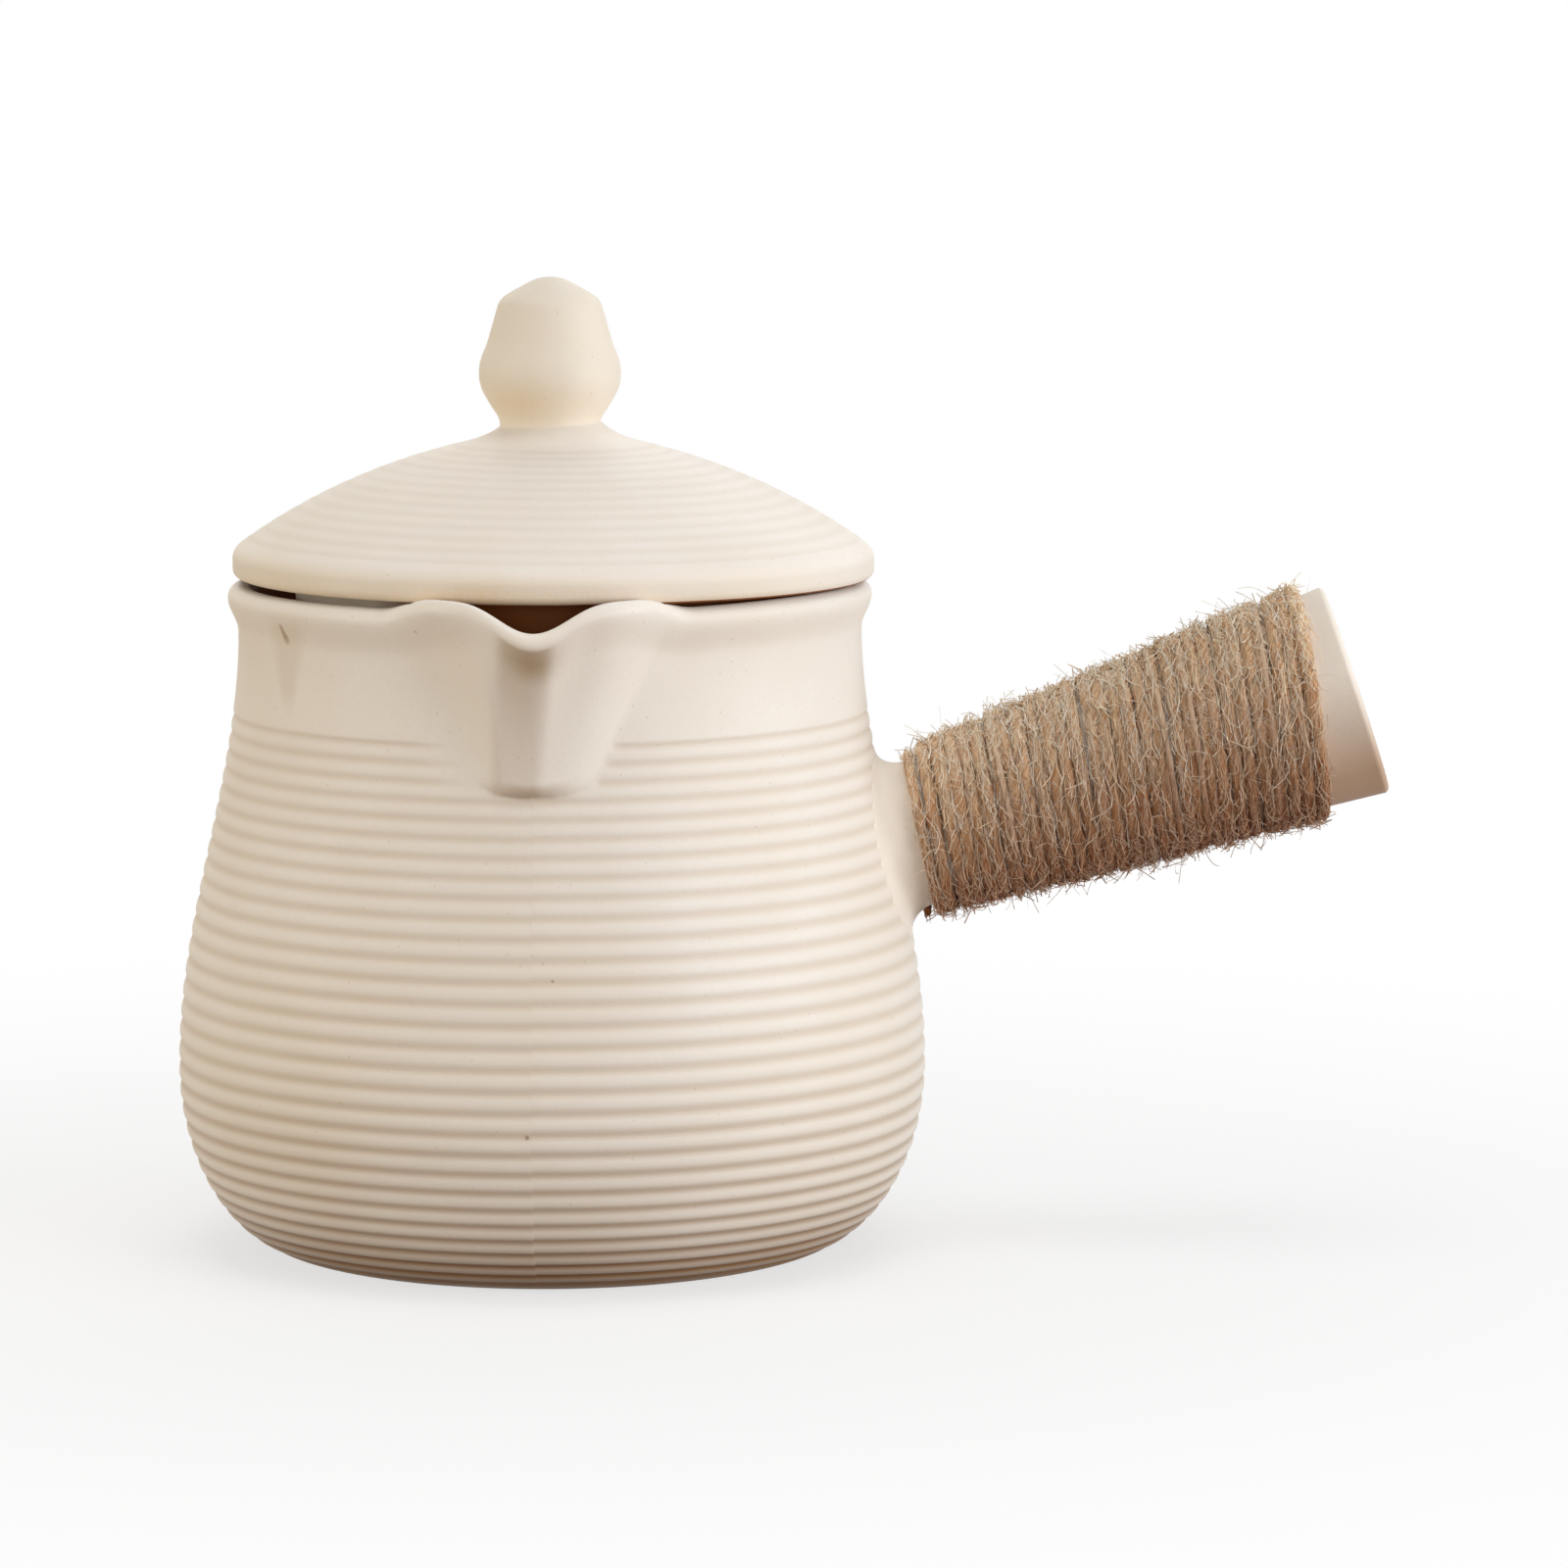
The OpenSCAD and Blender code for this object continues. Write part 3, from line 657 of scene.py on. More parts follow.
# %% The tree that pulls the lip
LIP_SIZES = {
    "Reach": 7.0, "Dip": 2.1, "Half Width": 18.4, "Channel Depth": 7.7,
    "Shoulder": 12.3, "Shoulder Rise": 1.8, "Shoulder End": 21.7, "Shoulder Reach": 2.4, "Shoulder Half Width": 9.5,
    "Lid Edge": 43.7, "Seat Height": 0.9, "Seat Slope": 1.6, "Seat Softness": 0.6,
    "Beak Foot": BEAK_Z, "Beak Wall": float(outer_r(BEAK_Z)), "Beak Half Width": 6.6, "Beak Step": 1.25,
    "Beak Round": 2.0, "Beak Corner": 1.6, "Keel Flat": 5.4, "Keel Side": 10.5,
    "Rim Radius": RIM_R, "Rim Height": RIM_Z, "Rim Turn": RIM_TURN_Z, "Rim Rise": 0.35,
    "Groove Top": GROOVE_TOP_Z, "Seam Step": 0.055, "Seam Fade": 4.0, "Unevenness": 0.12,
    "Pocket": 0.45, "Pocket Half Width": 5.4, "Pocket Height": 86.4, "Pocket Half Height": 4.2,
    "Trail": 10.0, "Trail Half Width": 2.0, "Trail Left": 2.8, "Foot Mark": 0.6, "Foot Mark Half Height": 1.8,
}
RIM_RISE_AT, RIM_RISE_SPAN, SEAM_AT = math.radians(58), math.radians(50), math.radians(-1.9)
BEAK_SWEEP, KEEL_POWER, BLUNT_POWER, SMEAR_POWER, NOTCH_POWER = 2.2, 1.35, 0.65, 1.7, 2.1
SLID_REACH, KEEL_FLAT_LOW, KEEL_SIDE_LOW, SEAT_SIDE = 3.0, 0.8, 0.35, 1.3
SEAM_SCALE, SEAM_WANDER, HAND_SCALE = 180, 0.03, 55
POCKET_STAIN_AND_SHADE, TRAIL_STAIN_AND_SHADE_LOW, TRAIL_STAIN_AND_SHADE_HIGH, FOOT_STAIN_AND_SHADE = 0.36, 0.27, 0.38, 0.42
GROOVE_FADE_RIGHT, GROOVE_FADE_LEFT, GROOVE_FADE_FOOT = 0.05, 0.35, 0.8


def pulled_lip():
    bare, size = geometry_tree("Pulled lip", LIP_SIZES)
    place = bare.geo("InputPosition")
    x, y, z = split(place)
    radius = (x * x + y * y).math("SQRT")
    plain_r, _, plain_z = split(named(bare, "plain", "FLOAT_VECTOR"))
    skin, wall = named(bare, "skin"), named(bare, "wall")
    angle = x.math("ARCTAN2", -y)
    beak, top = size.beak_foot, size.rim_turn

    # Columns inside the lip crowd together towards the beak's foot
    widest = (size.half_width / size.rim_radius).math("ARCSINE")
    narrow = (size.beak_half_width / size.beak_wall).math("ARCSINE")
    side = abs(angle) / widest
    edge = mix(narrow, widest, ((plain_z - beak) / (size.rim_height - beak)).clamp())
    outside = edge + (side - 1) / (SLID_REACH - 1) * (widest * SLID_REACH - edge)
    slid = mix(mix(side * edge, outside, side > 1), abs(angle), side > SLID_REACH)
    new_angle = slid * angle.math("SIGN")
    t = side.capped()

    # The rim dips in the middle and stands up at two shoulders
    out = t * size.half_width
    shoulder, rise = size.shoulder, size.shoulder_rise
    hollow = mix(rise, -size.dip, wave((out / shoulder).capped()) ** NOTCH_POWER)
    far_out = side * size.half_width
    slope = rise * wave(((far_out - shoulder) / (size.shoulder_end - shoulder)).clamp())
    lift = mix(hollow, slope, out > shoulder)
    share = ((plain_z - beak) / (top - beak)).clamp()

    # The keel swells out of the wall, and the channel inside follows it
    beak_r = mix(size.beak_wall + size.beak_step, size.rim_radius + size.reach, share ** BEAK_SWEEP)
    rounded = 1 - ((plain_z - beak - size.beak_corner * t ** 3) / size.beak_round).clamp()
    foot = (1 - rounded * rounded).math("SQRT")
    crisp = mix(1 - t ** KEEL_POWER, wave(t), share ** 5)
    flat = size.keel_flat * mix(KEEL_FLAT_LOW, 1.0, share)
    fall = size.keel_side * mix(KEEL_SIDE_LOW, 1.0, share)
    blunt = 1 - ease(((slid * wall - flat) / fall).clamp() ** BLUNT_POWER)
    smeared = mix(blunt, wave(t) ** SMEAR_POWER, share ** 4)
    outer_push = (beak_r - wall) * foot * mix(crisp, smeared, angle < 0.0)
    inner_push = size.channel_depth * ease(share) * wave(t)
    beside = (abs(far_out - shoulder) / size.shoulder_half_width).capped()
    push = mix(inner_push, outer_push, skin) + size.shoulder_reach * wave(beside) * share ** 2

    # Under the bead of the lip the keel is pressed in a little
    aside = (out / size.pocket_half_width).capped()
    level = (abs(plain_z - size.pocket_height) / size.pocket_half_height).capped()
    pocket = wave(aside) * wave(level) * skin

    # A brown mark, partly tea and partly painted shade: under the bead where it overhangs, in a trail down
    # the keel's left side, which faces away from the light, and at the keel's foot where it stands off the wall
    below_lip = ((size.pocket_height - plain_z) / size.trail).clamp()
    half_trail = size.trail_half_width
    off_middle = abs(new_angle * wall + size.trail_left - half_trail * share)
    trail = (1 - ease(((off_middle - half_trail) / half_trail).clamp())) * mix(0.7, 1.0, wave(below_lip))
    trail = trail * mix(TRAIL_STAIN_AND_SHADE_LOW, TRAIL_STAIN_AND_SHADE_HIGH, share) * (plain_z > beak)
    off_foot = abs(plain_z - beak - size.foot_mark) / size.foot_mark_half_height
    foot_stain_and_shade = wave(off_foot.capped()) * wave(t) * FOOT_STAIN_AND_SHADE
    drip = (pocket * POCKET_STAIN_AND_SHADE + (trail + foot_stain_and_shade) * skin).clamp() * (side < 1.0) * (plain_z < top)

    # Grooves end softly on the left of the keel and crisply on the right
    fade = mix(GROOVE_FADE_RIGHT, GROOVE_FADE_LEFT, angle < 0.0)
    inside = (1 - (side - 1) / fade).clamp() * ((plain_z - beak) / (GROOVE_FADE_FOOT * MM) + 0.5).clamp()
    kept = 1 - ease(inside)
    sunk = named(bare, "sunk") * kept

    # The mould's seam, the rim's slight warp and an uneven hand
    below = ((size.groove_top - plain_z) / size.seam_fade).clamp() * (plain_z / size.seam_fade).clamp() * skin
    wander = (noise(place, SEAM_SCALE, 2) - 0.5) * SEAM_WANDER
    step = (angle - SEAM_AT + wander).math("SIGN") * size.seam_step * below
    warp = wave((abs(angle - RIM_RISE_AT) / RIM_RISE_SPAN).capped()) * size.rim_rise
    hand = (noise(place, HAND_SCALE, 1) - 0.5) * size.unevenness

    new_r = plain_r + (radius - plain_r) * kept + push - pocket * size.pocket + hand * skin
    new_z = plain_z + (z - plain_z) * kept + lift * share + step + warp * share

    # Under the lid's edge the shoulders stay low, so that it rests on them
    off_lid = ((new_r - size.lid_edge) / size.seat_slope).clamp()
    seat = size.rim_height + size.seat_height + ease(off_lid) * rise * SEAT_SIDE
    new_z = new_z.math("SMOOTH_MIN", seat, size.seat_softness)
    form = store(size.geometry, "sunk", sunk)
    form = store(form, "drip", drip)
    form = store(form, "bead", ((plain_z - top) / (size.rim_height - top)).clamp())
    form = move(form, combine(new_r * new_angle.math("SINE"), -new_r * new_angle.math("COSINE"), new_z))
    return end_tree(form, size.material)


PULLED_LIP = pulled_lip()

# %% Throw the pot and pull its lip
pot_wall = grow(
    "pot_wall", pot_outline,
    (THROWN_FORM, {"Columns": 248, "Focus": 0.55, "Groove Depth": 0.34 * MM, "Groove Sharpness": 1.9,
                   "Depth Fade": 5.5, "Material": pot_clay}),
    (PULLED_LIP, in_metres(LIP_SIZES) | {"Material": pot_clay}))

# %% [markdown]
# ## The lid and its knob
#
# The lid is a low dome with shallow grooves, a smooth rounded edge, and a ring underneath that keeps it
# from sliding off. It sits on the lip's two shoulders, a little off the rim and not quite level. The knob
# is a separate lump of clay, pressed on while wet. The fillet that smooths it into the dome is part of the
# lid's outline. Both come from the same tree as the pot.

# %% The lid's rows
LID_R, LID_EDGE_H, LID_EDGE_ROUND = 43.5, 4.6, 2.0
EDGE_SLOPE, TOP_SLOPE = math.tan(math.radians(35.5)), math.tan(math.radians(11.3))
KNOB_SEAT_Z, KNOB_FOOT_R = 18.9, 8.5
NECK, NECK_BEND, GROOVE_START = np.array([6.2, 21.2]), np.array([8.0, 19.12]), 1.5
LID_GROOVES, LID_BAND, LID_HOLLOW_H = 14, 1.2, 13.8
EDGE_FLAT_Z, EDGE_UNDER = 2.5, 1.1
FLANGE_R, FLANGE_IN_R, FLANGE_H, FLANGE_ROUND, FLANGE_ROOT = 35.0, 31.6, 9.0, 1.2, 0.8
DOME_EDGE_R = LID_R - (LID_EDGE_H - LID_EDGE_ROUND) / 2
DOME_TURN_R = ((KNOB_SEAT_Z - LID_EDGE_H + TOP_SLOPE * KNOB_FOOT_R - EDGE_SLOPE * DOME_EDGE_R)
               / (TOP_SLOPE - EDGE_SLOPE))
DOME_TURN_Z = KNOB_SEAT_Z - TOP_SLOPE * (DOME_TURN_R - KNOB_FOOT_R)


def lid_rows():
    rows = []

    def add(points, groove=CREST):
        for r, z in np.atleast_2d(points):
            rows.append((r, z, groove, 1.0, r))

    def arc(r, z, start, end, count=6):
        for a in np.radians(np.linspace(start, end, count + 1)):
            add((r + FLANGE_ROUND * math.cos(a), z + FLANGE_ROUND * math.sin(a)))

    seat, dome_turn, dome_edge = (KNOB_FOOT_R, KNOB_SEAT_Z), (DOME_TURN_R, DOME_TURN_Z), (DOME_EDGE_R, LID_EDGE_H)
    dome = np.array([bow(seat, dome_turn, dome_edge, t) for t in np.linspace(0, 1, 300)])
    grooved = length(dome) - LID_BAND
    for t in steps(3):
        add(NECK * (t, 1))
    fillet_end = spaced(dome, [grooved * GROOVE_START / LID_GROOVES])[0]
    for t in steps(12):
        add(bow(NECK, NECK_BEND, fillet_end, t))
    for number in np.arange(GROOVE_START * RIB_ROWS, LID_GROOVES * RIB_ROWS + 1) / RIB_ROWS:
        add(spaced(dome, [grooved * number / LID_GROOVES]), number)
    for t in np.linspace(0, 1, 9)[1:-1]:
        add(spaced(dome, [grooved + LID_BAND * t]), CREST * min(1, 2 * t))
    edge_turn = (LID_R, LID_EDGE_H - EDGE_SLOPE * (LID_R - DOME_EDGE_R))
    for t in steps(8):
        add(bow(dome_edge, edge_turn, (LID_R, EDGE_FLAT_Z), t))
    for t in steps(3):
        add((LID_R, mix(EDGE_FLAT_Z, EDGE_UNDER, t)))
    for a in np.radians(np.linspace(0, -90, 8)):
        add((LID_R - EDGE_UNDER * (1 - math.cos(a)), EDGE_UNDER * (1 + math.sin(a))))
    for t in np.linspace(0, 1, 6)[1:]:
        add((mix(LID_R - EDGE_UNDER, FLANGE_R + FLANGE_ROOT, t), 0))
    for t in np.linspace(0, 1, 5)[1:]:
        add(bow((FLANGE_R + FLANGE_ROOT, 0), (FLANGE_R, 0), (FLANGE_R, -FLANGE_ROOT), t))
    round_z = FLANGE_ROUND - FLANGE_H
    add((FLANGE_R, round_z / 2))
    arc(FLANGE_R - FLANGE_ROUND, round_z, 0, -90)
    arc(FLANGE_IN_R + FLANGE_ROUND, round_z, -90, -180)
    add((FLANGE_IN_R, round_z / 2))
    for t in np.linspace(0, 1, 20):
        add(bow((FLANGE_IN_R, 0), (FLANGE_IN_R / 2, LID_HOLLOW_H), (0, LID_HOLLOW_H), t))
    return rows


lid_outline = profile("lid_outline", lid_rows())

# %% The knob's rows
KNOB_STRETCHES = (
    ((0, 21.6), (1.5, 21.6), (2.9, 20.85), 8),
    ((2.9, 20.85), (4.6, 19.95), (5.75, 19.25), 6),
    ((5.75, 19.25), (6.85, 18.55), (7.1, 17.6), 8),
    ((7.1, 17.6), (7.55, 16.0), (8.4, 13.0), 8),
    ((8.4, 13.0), (8.8, 11.9), (9.2, 10.95), 6),
    ((9.2, 10.95), (9.62, 9.8), (9.62, 8.45), 8),
    ((9.62, 8.45), (9.62, 7.0), (8.9, 5.7), 8),
    ((8.9, 5.7), (8.0, 4.1), (7.2, 2.95), 8),
    ((7.2, 2.95), (6.6, 1.95), (6.9, 1.0), 8),
)
KNOB_UNDER_Z = 0.2


def knob_rows():
    points = [bow(*stretch, t) for *stretch, count in KNOB_STRETCHES for t in steps(count)]
    last = KNOB_STRETCHES[-1][2]
    points += [last, *((share * last[0], KNOB_UNDER_Z) for share in (0.9, 0.4, 0))]
    return [(r, z + KNOB_SEAT_Z, CREST, 1.0, r) for r, z in points]


knob_outline = profile("knob_outline", knob_rows())

# %% Throw the lid and the knob, and set them on the rim
SEAT_GAP, FRONT_LIFT, LEFT_LIFT, LID_ASIDE = 0.75, 0.25, 0.4, 0.5
EVEN = {"Focus": 1.0, "Depth Fade": 0.0}


def on_rim(aside=0.0):
    """Where a piece of the lid rests, with its front and its left side lifted a little."""
    front, left = (math.atan(lift / (2 * SEAT_R)) for lift in (FRONT_LIFT, LEFT_LIFT))
    return (Matrix.Translation(Vector((aside, 0, RIM_Z + SEAT_GAP)) * MM)
            @ Matrix.Rotation(-front, 4, "X") @ Matrix.Rotation(left, 4, "Y"))


lid_shell = grow("lid_shell", lid_outline, (THROWN_FORM, EVEN | {
    "Columns": 240, "Groove Depth": 0.055 * MM, "Groove Sharpness": 1.2, "Material": lid_clay}))
lid_knob = grow("lid_knob_clay", knob_outline, (THROWN_FORM, EVEN | {
    "Columns": 128, "Groove Depth": 0.0, "Groove Sharpness": 1.0, "Material": knob_clay}))
lid_shell.data.transform(on_rim(LID_ASIDE))
lid_knob.data.transform(on_rim())

# %% [markdown]
# ## The hollow handle
#
# The handle is a tapered clay tube, open at its far end so that a stick can be pushed in and so that it
# stays cool. It was luted to the wall with a finger-smoothed fillet. A cylinder with a Boolean would leave
# a hard line at the wall, so this is a loft: rings of points along the tube's axis, whose first rings lie
# on the pot's wall itself, found by walking along the axis until the wall is met.

# %% The handle's frame
HANDLE_Z, HANDLE_TILT = 55.2, math.radians(18.4)
HANDLE_LEN, HANDLE_ROOT_R, HANDLE_END_R = 66.2, 9.5, 14.7
HANDLE_WALL, HOLLOW_START, HANDLE_EDGE = 3.4, 8.0, 0.9
WALK_STEPS, STEP_SHARE = 40, 0.8
HANDLE_ROOT = np.array([float(outer_r(HANDLE_Z)), 0, HANDLE_Z])
HANDLE_AXIS = np.array([math.cos(HANDLE_TILT), 0, math.sin(HANDLE_TILT)])
HANDLE_DOWN = np.array([math.sin(HANDLE_TILT), 0, -math.cos(HANDLE_TILT)])
HANDLE_SIDE = np.array([0.0, 1.0, 0.0])
ON_HANDLE = Matrix(np.vstack([
    np.column_stack([HANDLE_DOWN, HANDLE_SIDE, HANDLE_AXIS, HANDLE_ROOT * MM]), [0, 0, 0, 1]]).tolist())


def cone_r(s):
    return mix(HANDLE_ROOT_R, HANDLE_END_R, s / HANDLE_LEN)


def to_wall(around, radius):
    """How far along the axis the pot's smooth wall is met, for a line beside the axis."""
    s = np.zeros_like(around)
    for _ in range(WALK_STEPS):
        place = (HANDLE_ROOT + radius * (np.outer(np.cos(around), HANDLE_DOWN)
                 + np.outer(np.sin(around), HANDLE_SIDE)) + np.outer(s, HANDLE_AXIS))
        s -= STEP_SHARE * (np.hypot(place[:, 0], place[:, 1]) - outer_r(place[:, 2]))
    return s


# %% The tube's clay, with painted warm shade underneath towards its open end
TUBE_UNDER_SHADE, UNDER_SHADE_FROM_X, UNDER_SHADE_RISE = (0.63, 0.48, 0.38), 85.0, 0.3


def tube_with_under_shade(place):
    looks = clay(srgb(243, 236, 227), srgb(237, 226, 211))(place)
    x, _, z = split(place)
    axis_z = (x - HANDLE_ROOT[0] * MM) * math.tan(HANDLE_TILT) + HANDLE_Z * MM
    # Painted warm shade: the tube is darker and browner underneath, on its outer part
    below = ((axis_z - z) / (HANDLE_END_R * MM) + UNDER_SHADE_RISE).clamp()
    looks["Base Color"] = tinted(looks["Base Color"], TUBE_UNDER_SHADE, below * (x > UNDER_SHADE_FROM_X * MM))
    return looks


tube_clay = surface("tube_clay", tube_with_under_shade)

# %% Loft the handle
FILLET_OUT, FILLET_ALONG, FILLET_SUNK = 3.2, 4.6, 0.9
HANDLE_COLUMNS = 144


def handle_rings():
    around = np.linspace(0, 2 * math.pi, HANDLE_COLUMNS, endpoint=False)
    rings = [(HANDLE_ROOT_R + FILLET_OUT + FILLET_SUNK, to_wall(around, HANDLE_ROOT_R + FILLET_OUT) - FILLET_SUNK)]
    for a in np.linspace(0, math.pi / 2, 13):
        radius = HANDLE_ROOT_R + FILLET_OUT * (1 - math.sin(a))
        s = to_wall(around, radius) + FILLET_ALONG * (1 - math.cos(a))
        rings.append((radius + (HANDLE_END_R - HANDLE_ROOT_R) / HANDLE_LEN * np.maximum(s, 0), s))
    last = rings[-1][1]
    for t in np.linspace(0, 1, 24)[1:]:
        s = mix(last, HANDLE_LEN - HANDLE_EDGE, t)
        rings.append((cone_r(s), s))
    end_r, far = HANDLE_END_R - HANDLE_EDGE, HANDLE_LEN - HANDLE_EDGE
    for a in np.linspace(0, math.pi / 2, 7)[1:]:
        rings.append((end_r + HANDLE_EDGE * math.cos(a), far + HANDLE_EDGE * math.sin(a)))
    hollow_r = HANDLE_END_R - HANDLE_WALL
    for a in np.linspace(math.pi / 2, math.pi, 7):
        rings.append((hollow_r + HANDLE_EDGE * (1 + math.cos(a)), far + HANDLE_EDGE * math.sin(a)))
    for s in np.linspace(far, HOLLOW_START, 16)[1:]:
        rings.append((cone_r(s) - HANDLE_WALL, s))
    return around, rings


def loft(name, around, rings, material):
    """A closed skin over rings of points, with a point at each end to close it."""
    columns = len(around)
    points = []
    for radius, s in rings:
        radius, s = np.broadcast_to(radius, columns), np.broadcast_to(s, columns)
        points.append(np.column_stack([radius * np.cos(around), radius * np.sin(around), s]))
    ends = [[0, 0, float(np.mean(ring[:, 2]))] for ring in (points[0], points[-1])]
    places = np.vstack([*points, ends]) * MM
    first, last = columns * len(rings), columns * len(rings) + 1
    faces = []
    for i in range(columns):
        j = (i + 1) % columns
        faces.append((first, j, i))
        for k in range(len(rings) - 1):
            low, high = k * columns, (k + 1) * columns
            faces.append((low + i, low + j, high + j, high + i))
        faces.append((last, last - 1 - columns + i, last - 1 - columns + j))
    mesh = bpy.data.meshes.new(name)
    mesh.from_pydata(places.tolist(), [], faces)
    mesh.shade_smooth()
    mesh.materials.append(material)
    print(name, len(mesh.vertices), "points,", len(rings), "rings")
    return show(name, mesh)


handle_clay = loft("handle_clay", *handle_rings(), tube_clay)
handle_clay.data.transform(ON_HANDLE)

# %% [markdown]
# ## The jute winding
#
# One long strand of jute twine is wound around the tube, each turn against the last. It starts at the wall
# and stops short of the open end, and the turns lean so that they are further out on top. The strand is
# two plies twisted together. A Screw of a circle would look like a machined thread, so the tree lays a
# path of points, lets each turn wander a little, and sweeps a two-lobed section along it that turns as it
# goes.


# %% The tree that winds the twine
TWINE_SIZES = {
    "Root Radius": HANDLE_ROOT_R, "End Radius": HANDLE_END_R, "Length": HANDLE_LEN,
    "Collar": 0.8, "Collar Length": 5.5, "Twist": 9.0,
}
POINTS_PER_TURN, SINK = 84, 0.26
LOBE_SIZE, LOBE_DEPTH, THICK_AND_THIN = 0.96, 0.06, 0.9


def wound_twine():
    bare, size = geometry_tree("Wound twine", (
        *TWINE_SIZES, "Turns", "First Angle", "Start", "End", "Strand", "Stand Off", "Lean at Start",
        "Lean at End", "Wander", "Bulge", "Seed", "First Turn"))
    path = bare.geo("MeshLine", {"Count": size.turns * POINTS_PER_TURN + 1})
    turns = bare.geo("InputIndex") / POINTS_PER_TURN
    share = turns / size.turns
    angle = turns * (2 * math.pi) + size.first_angle

    def drift(pace, seed):
        return noise(combine(turns * pace, size.seed + seed, 0.0), 1.0, 2) - 0.5

    middle = mix(size.start, size.end, share) + drift(1.3, 3.0) * size.wander * 2
    lean = mix(size.lean_at_start, size.lean_at_end, share).math("TANGENT")
    tube = mix(size.root_radius, size.end_radius, middle / size.length)
    along_tube = middle - lean * tube * angle.math("COSINE")
    collar = (1 - along_tube / size.collar_length).clamp()
    tube = mix(size.root_radius, size.end_radius, along_tube / size.length)
    bulge = (drift(1.7, 9.0) + drift(6.0, 17.0) * 0.5 + 0.1) * size.bulge * 2
    radius = tube + collar * collar * size.collar + size.strand * SINK + size.stand_off + bulge
    path = move(path, combine(radius * angle.math("COSINE"), radius * angle.math("SINE"), along_tube))
    strand = bare.geo("MeshToCurve", {"Mesh": path})
    run = bare.geo("SplineParameter", out="Length")
    strand = store(strand, "along", run)
    # How far underneath each point is, which the jute's painted shade reads
    strand = store(strand, "under", (angle.math("COSINE") + 1) / 2)
    strand = bare.geo("SetCurveTilt", {"Curve": strand, "Tilt": run / size.twist * (2 * math.pi)})
    thick = (1 + drift(4.0, 31.0) * THICK_AND_THIN) * mix(size.first_turn, 1.0, (turns / 2).clamp())
    strand = bare.geo("SetCurveRadius", {"Curve": strand, "Radius": thick})
    ring = bare.geo("CurvePrimitiveCircle", {"Resolution": 10, "Radius": size.strand / 2})
    section = bare.geo("SplineParameter", out="Factor")
    ring = store(ring, "around", section)
    rx, ry, _ = split(bare.geo("InputPosition"))
    lobes = LOBE_SIZE + (section * (4 * math.pi)).math("COSINE") * LOBE_DEPTH
    ring = move(ring, combine(rx * lobes, ry * lobes, 0.0))
    rope = bare.geo("CurveToMesh", {
        "Curve": strand, "Profile Curve": ring, "Fill Caps": True, "Scale": thick})
    return end_tree(rope, size.material)


def seed_mesh(name):
    """A mesh with one point, for a tree that makes all its own geometry."""
    mesh = bpy.data.meshes.new(name)
    mesh.from_pydata([(0, 0, 0)], [], [])
    return mesh


WOUND_TWINE = wound_twine()
BY_TUBE = in_metres(TWINE_SIZES) | {
    "Lean at Start": math.radians(10), "Lean at End": math.radians(13), "Material": strand_jute}
twine_winding = grow("twine_winding", seed_mesh("twine_start"), (WOUND_TWINE, BY_TUBE | {
    "Turns": 30.0, "First Angle": 0.0, "Start": 3.0 * MM, "End": 59.8 * MM, "Strand": 2.2 * MM,
    "Wander": 1.15 * MM, "Bulge": 0.42 * MM, "Seed": 0.0, "First Turn": 0.5}))

# %% [markdown]
# A few plies have worked loose and lie across the winding on the front. They are the same strand, thinner,
# for part of a turn. Each has a start and an end along the handle, a first angle and a span.

# %% Loose plies
LOOSE_PLIES = ((38.2, 39.4, 185, 170), (42.6, 43.6, 200, 130), (15.5, 17.0, 175, 150), (54.0, 53.0, 190, 150))
loose_plies = [
    grow(f"twine_ply_{number}", seed_mesh("ply_start"), (WOUND_TWINE, BY_TUBE | {
        "Turns": span / 360, "First Angle": math.radians(first), "Start": start * MM, "End": end * MM,
        "Strand": 1.0 * MM, "Stand Off": 1.2 * MM, "Wander": 0.9 * MM, "Bulge": 0.25 * MM, "Seed": 50.0 + number,
        "First Turn": 1.0, "Material": ply_jute}))
    for number, (start, end, first, span) in enumerate(LOOSE_PLIES)]

# %% [markdown]
# Jute sheds. Thousands of short fibres stand off the strands, most of them lying along the winding and some
# curling away. Particle hair would not survive the export, so a tree scatters points on the outside of the
# strands and sets a bent three-sided tube on each one.


# %% The tree that scatters loose fibres
def chance(bare, low, high, seed):
    """A random number for each point."""
    return bare.node("FunctionNodeRandomValue", {2: low, 3: high, 8: seed}, out=1, data_type="FLOAT")


FIBRE_SIZES = ("Density", "Fibre", "Thickness", "Lift", "Stray", "Facing", "Bends", "Curl", "Tint", "Seed", "Lean")
FIBRE_BENDS = ((0.05, 0.10), (0.22, 0.18), (-0.18, 0.30), (0.35, 0.05), (-0.40, 0.16))


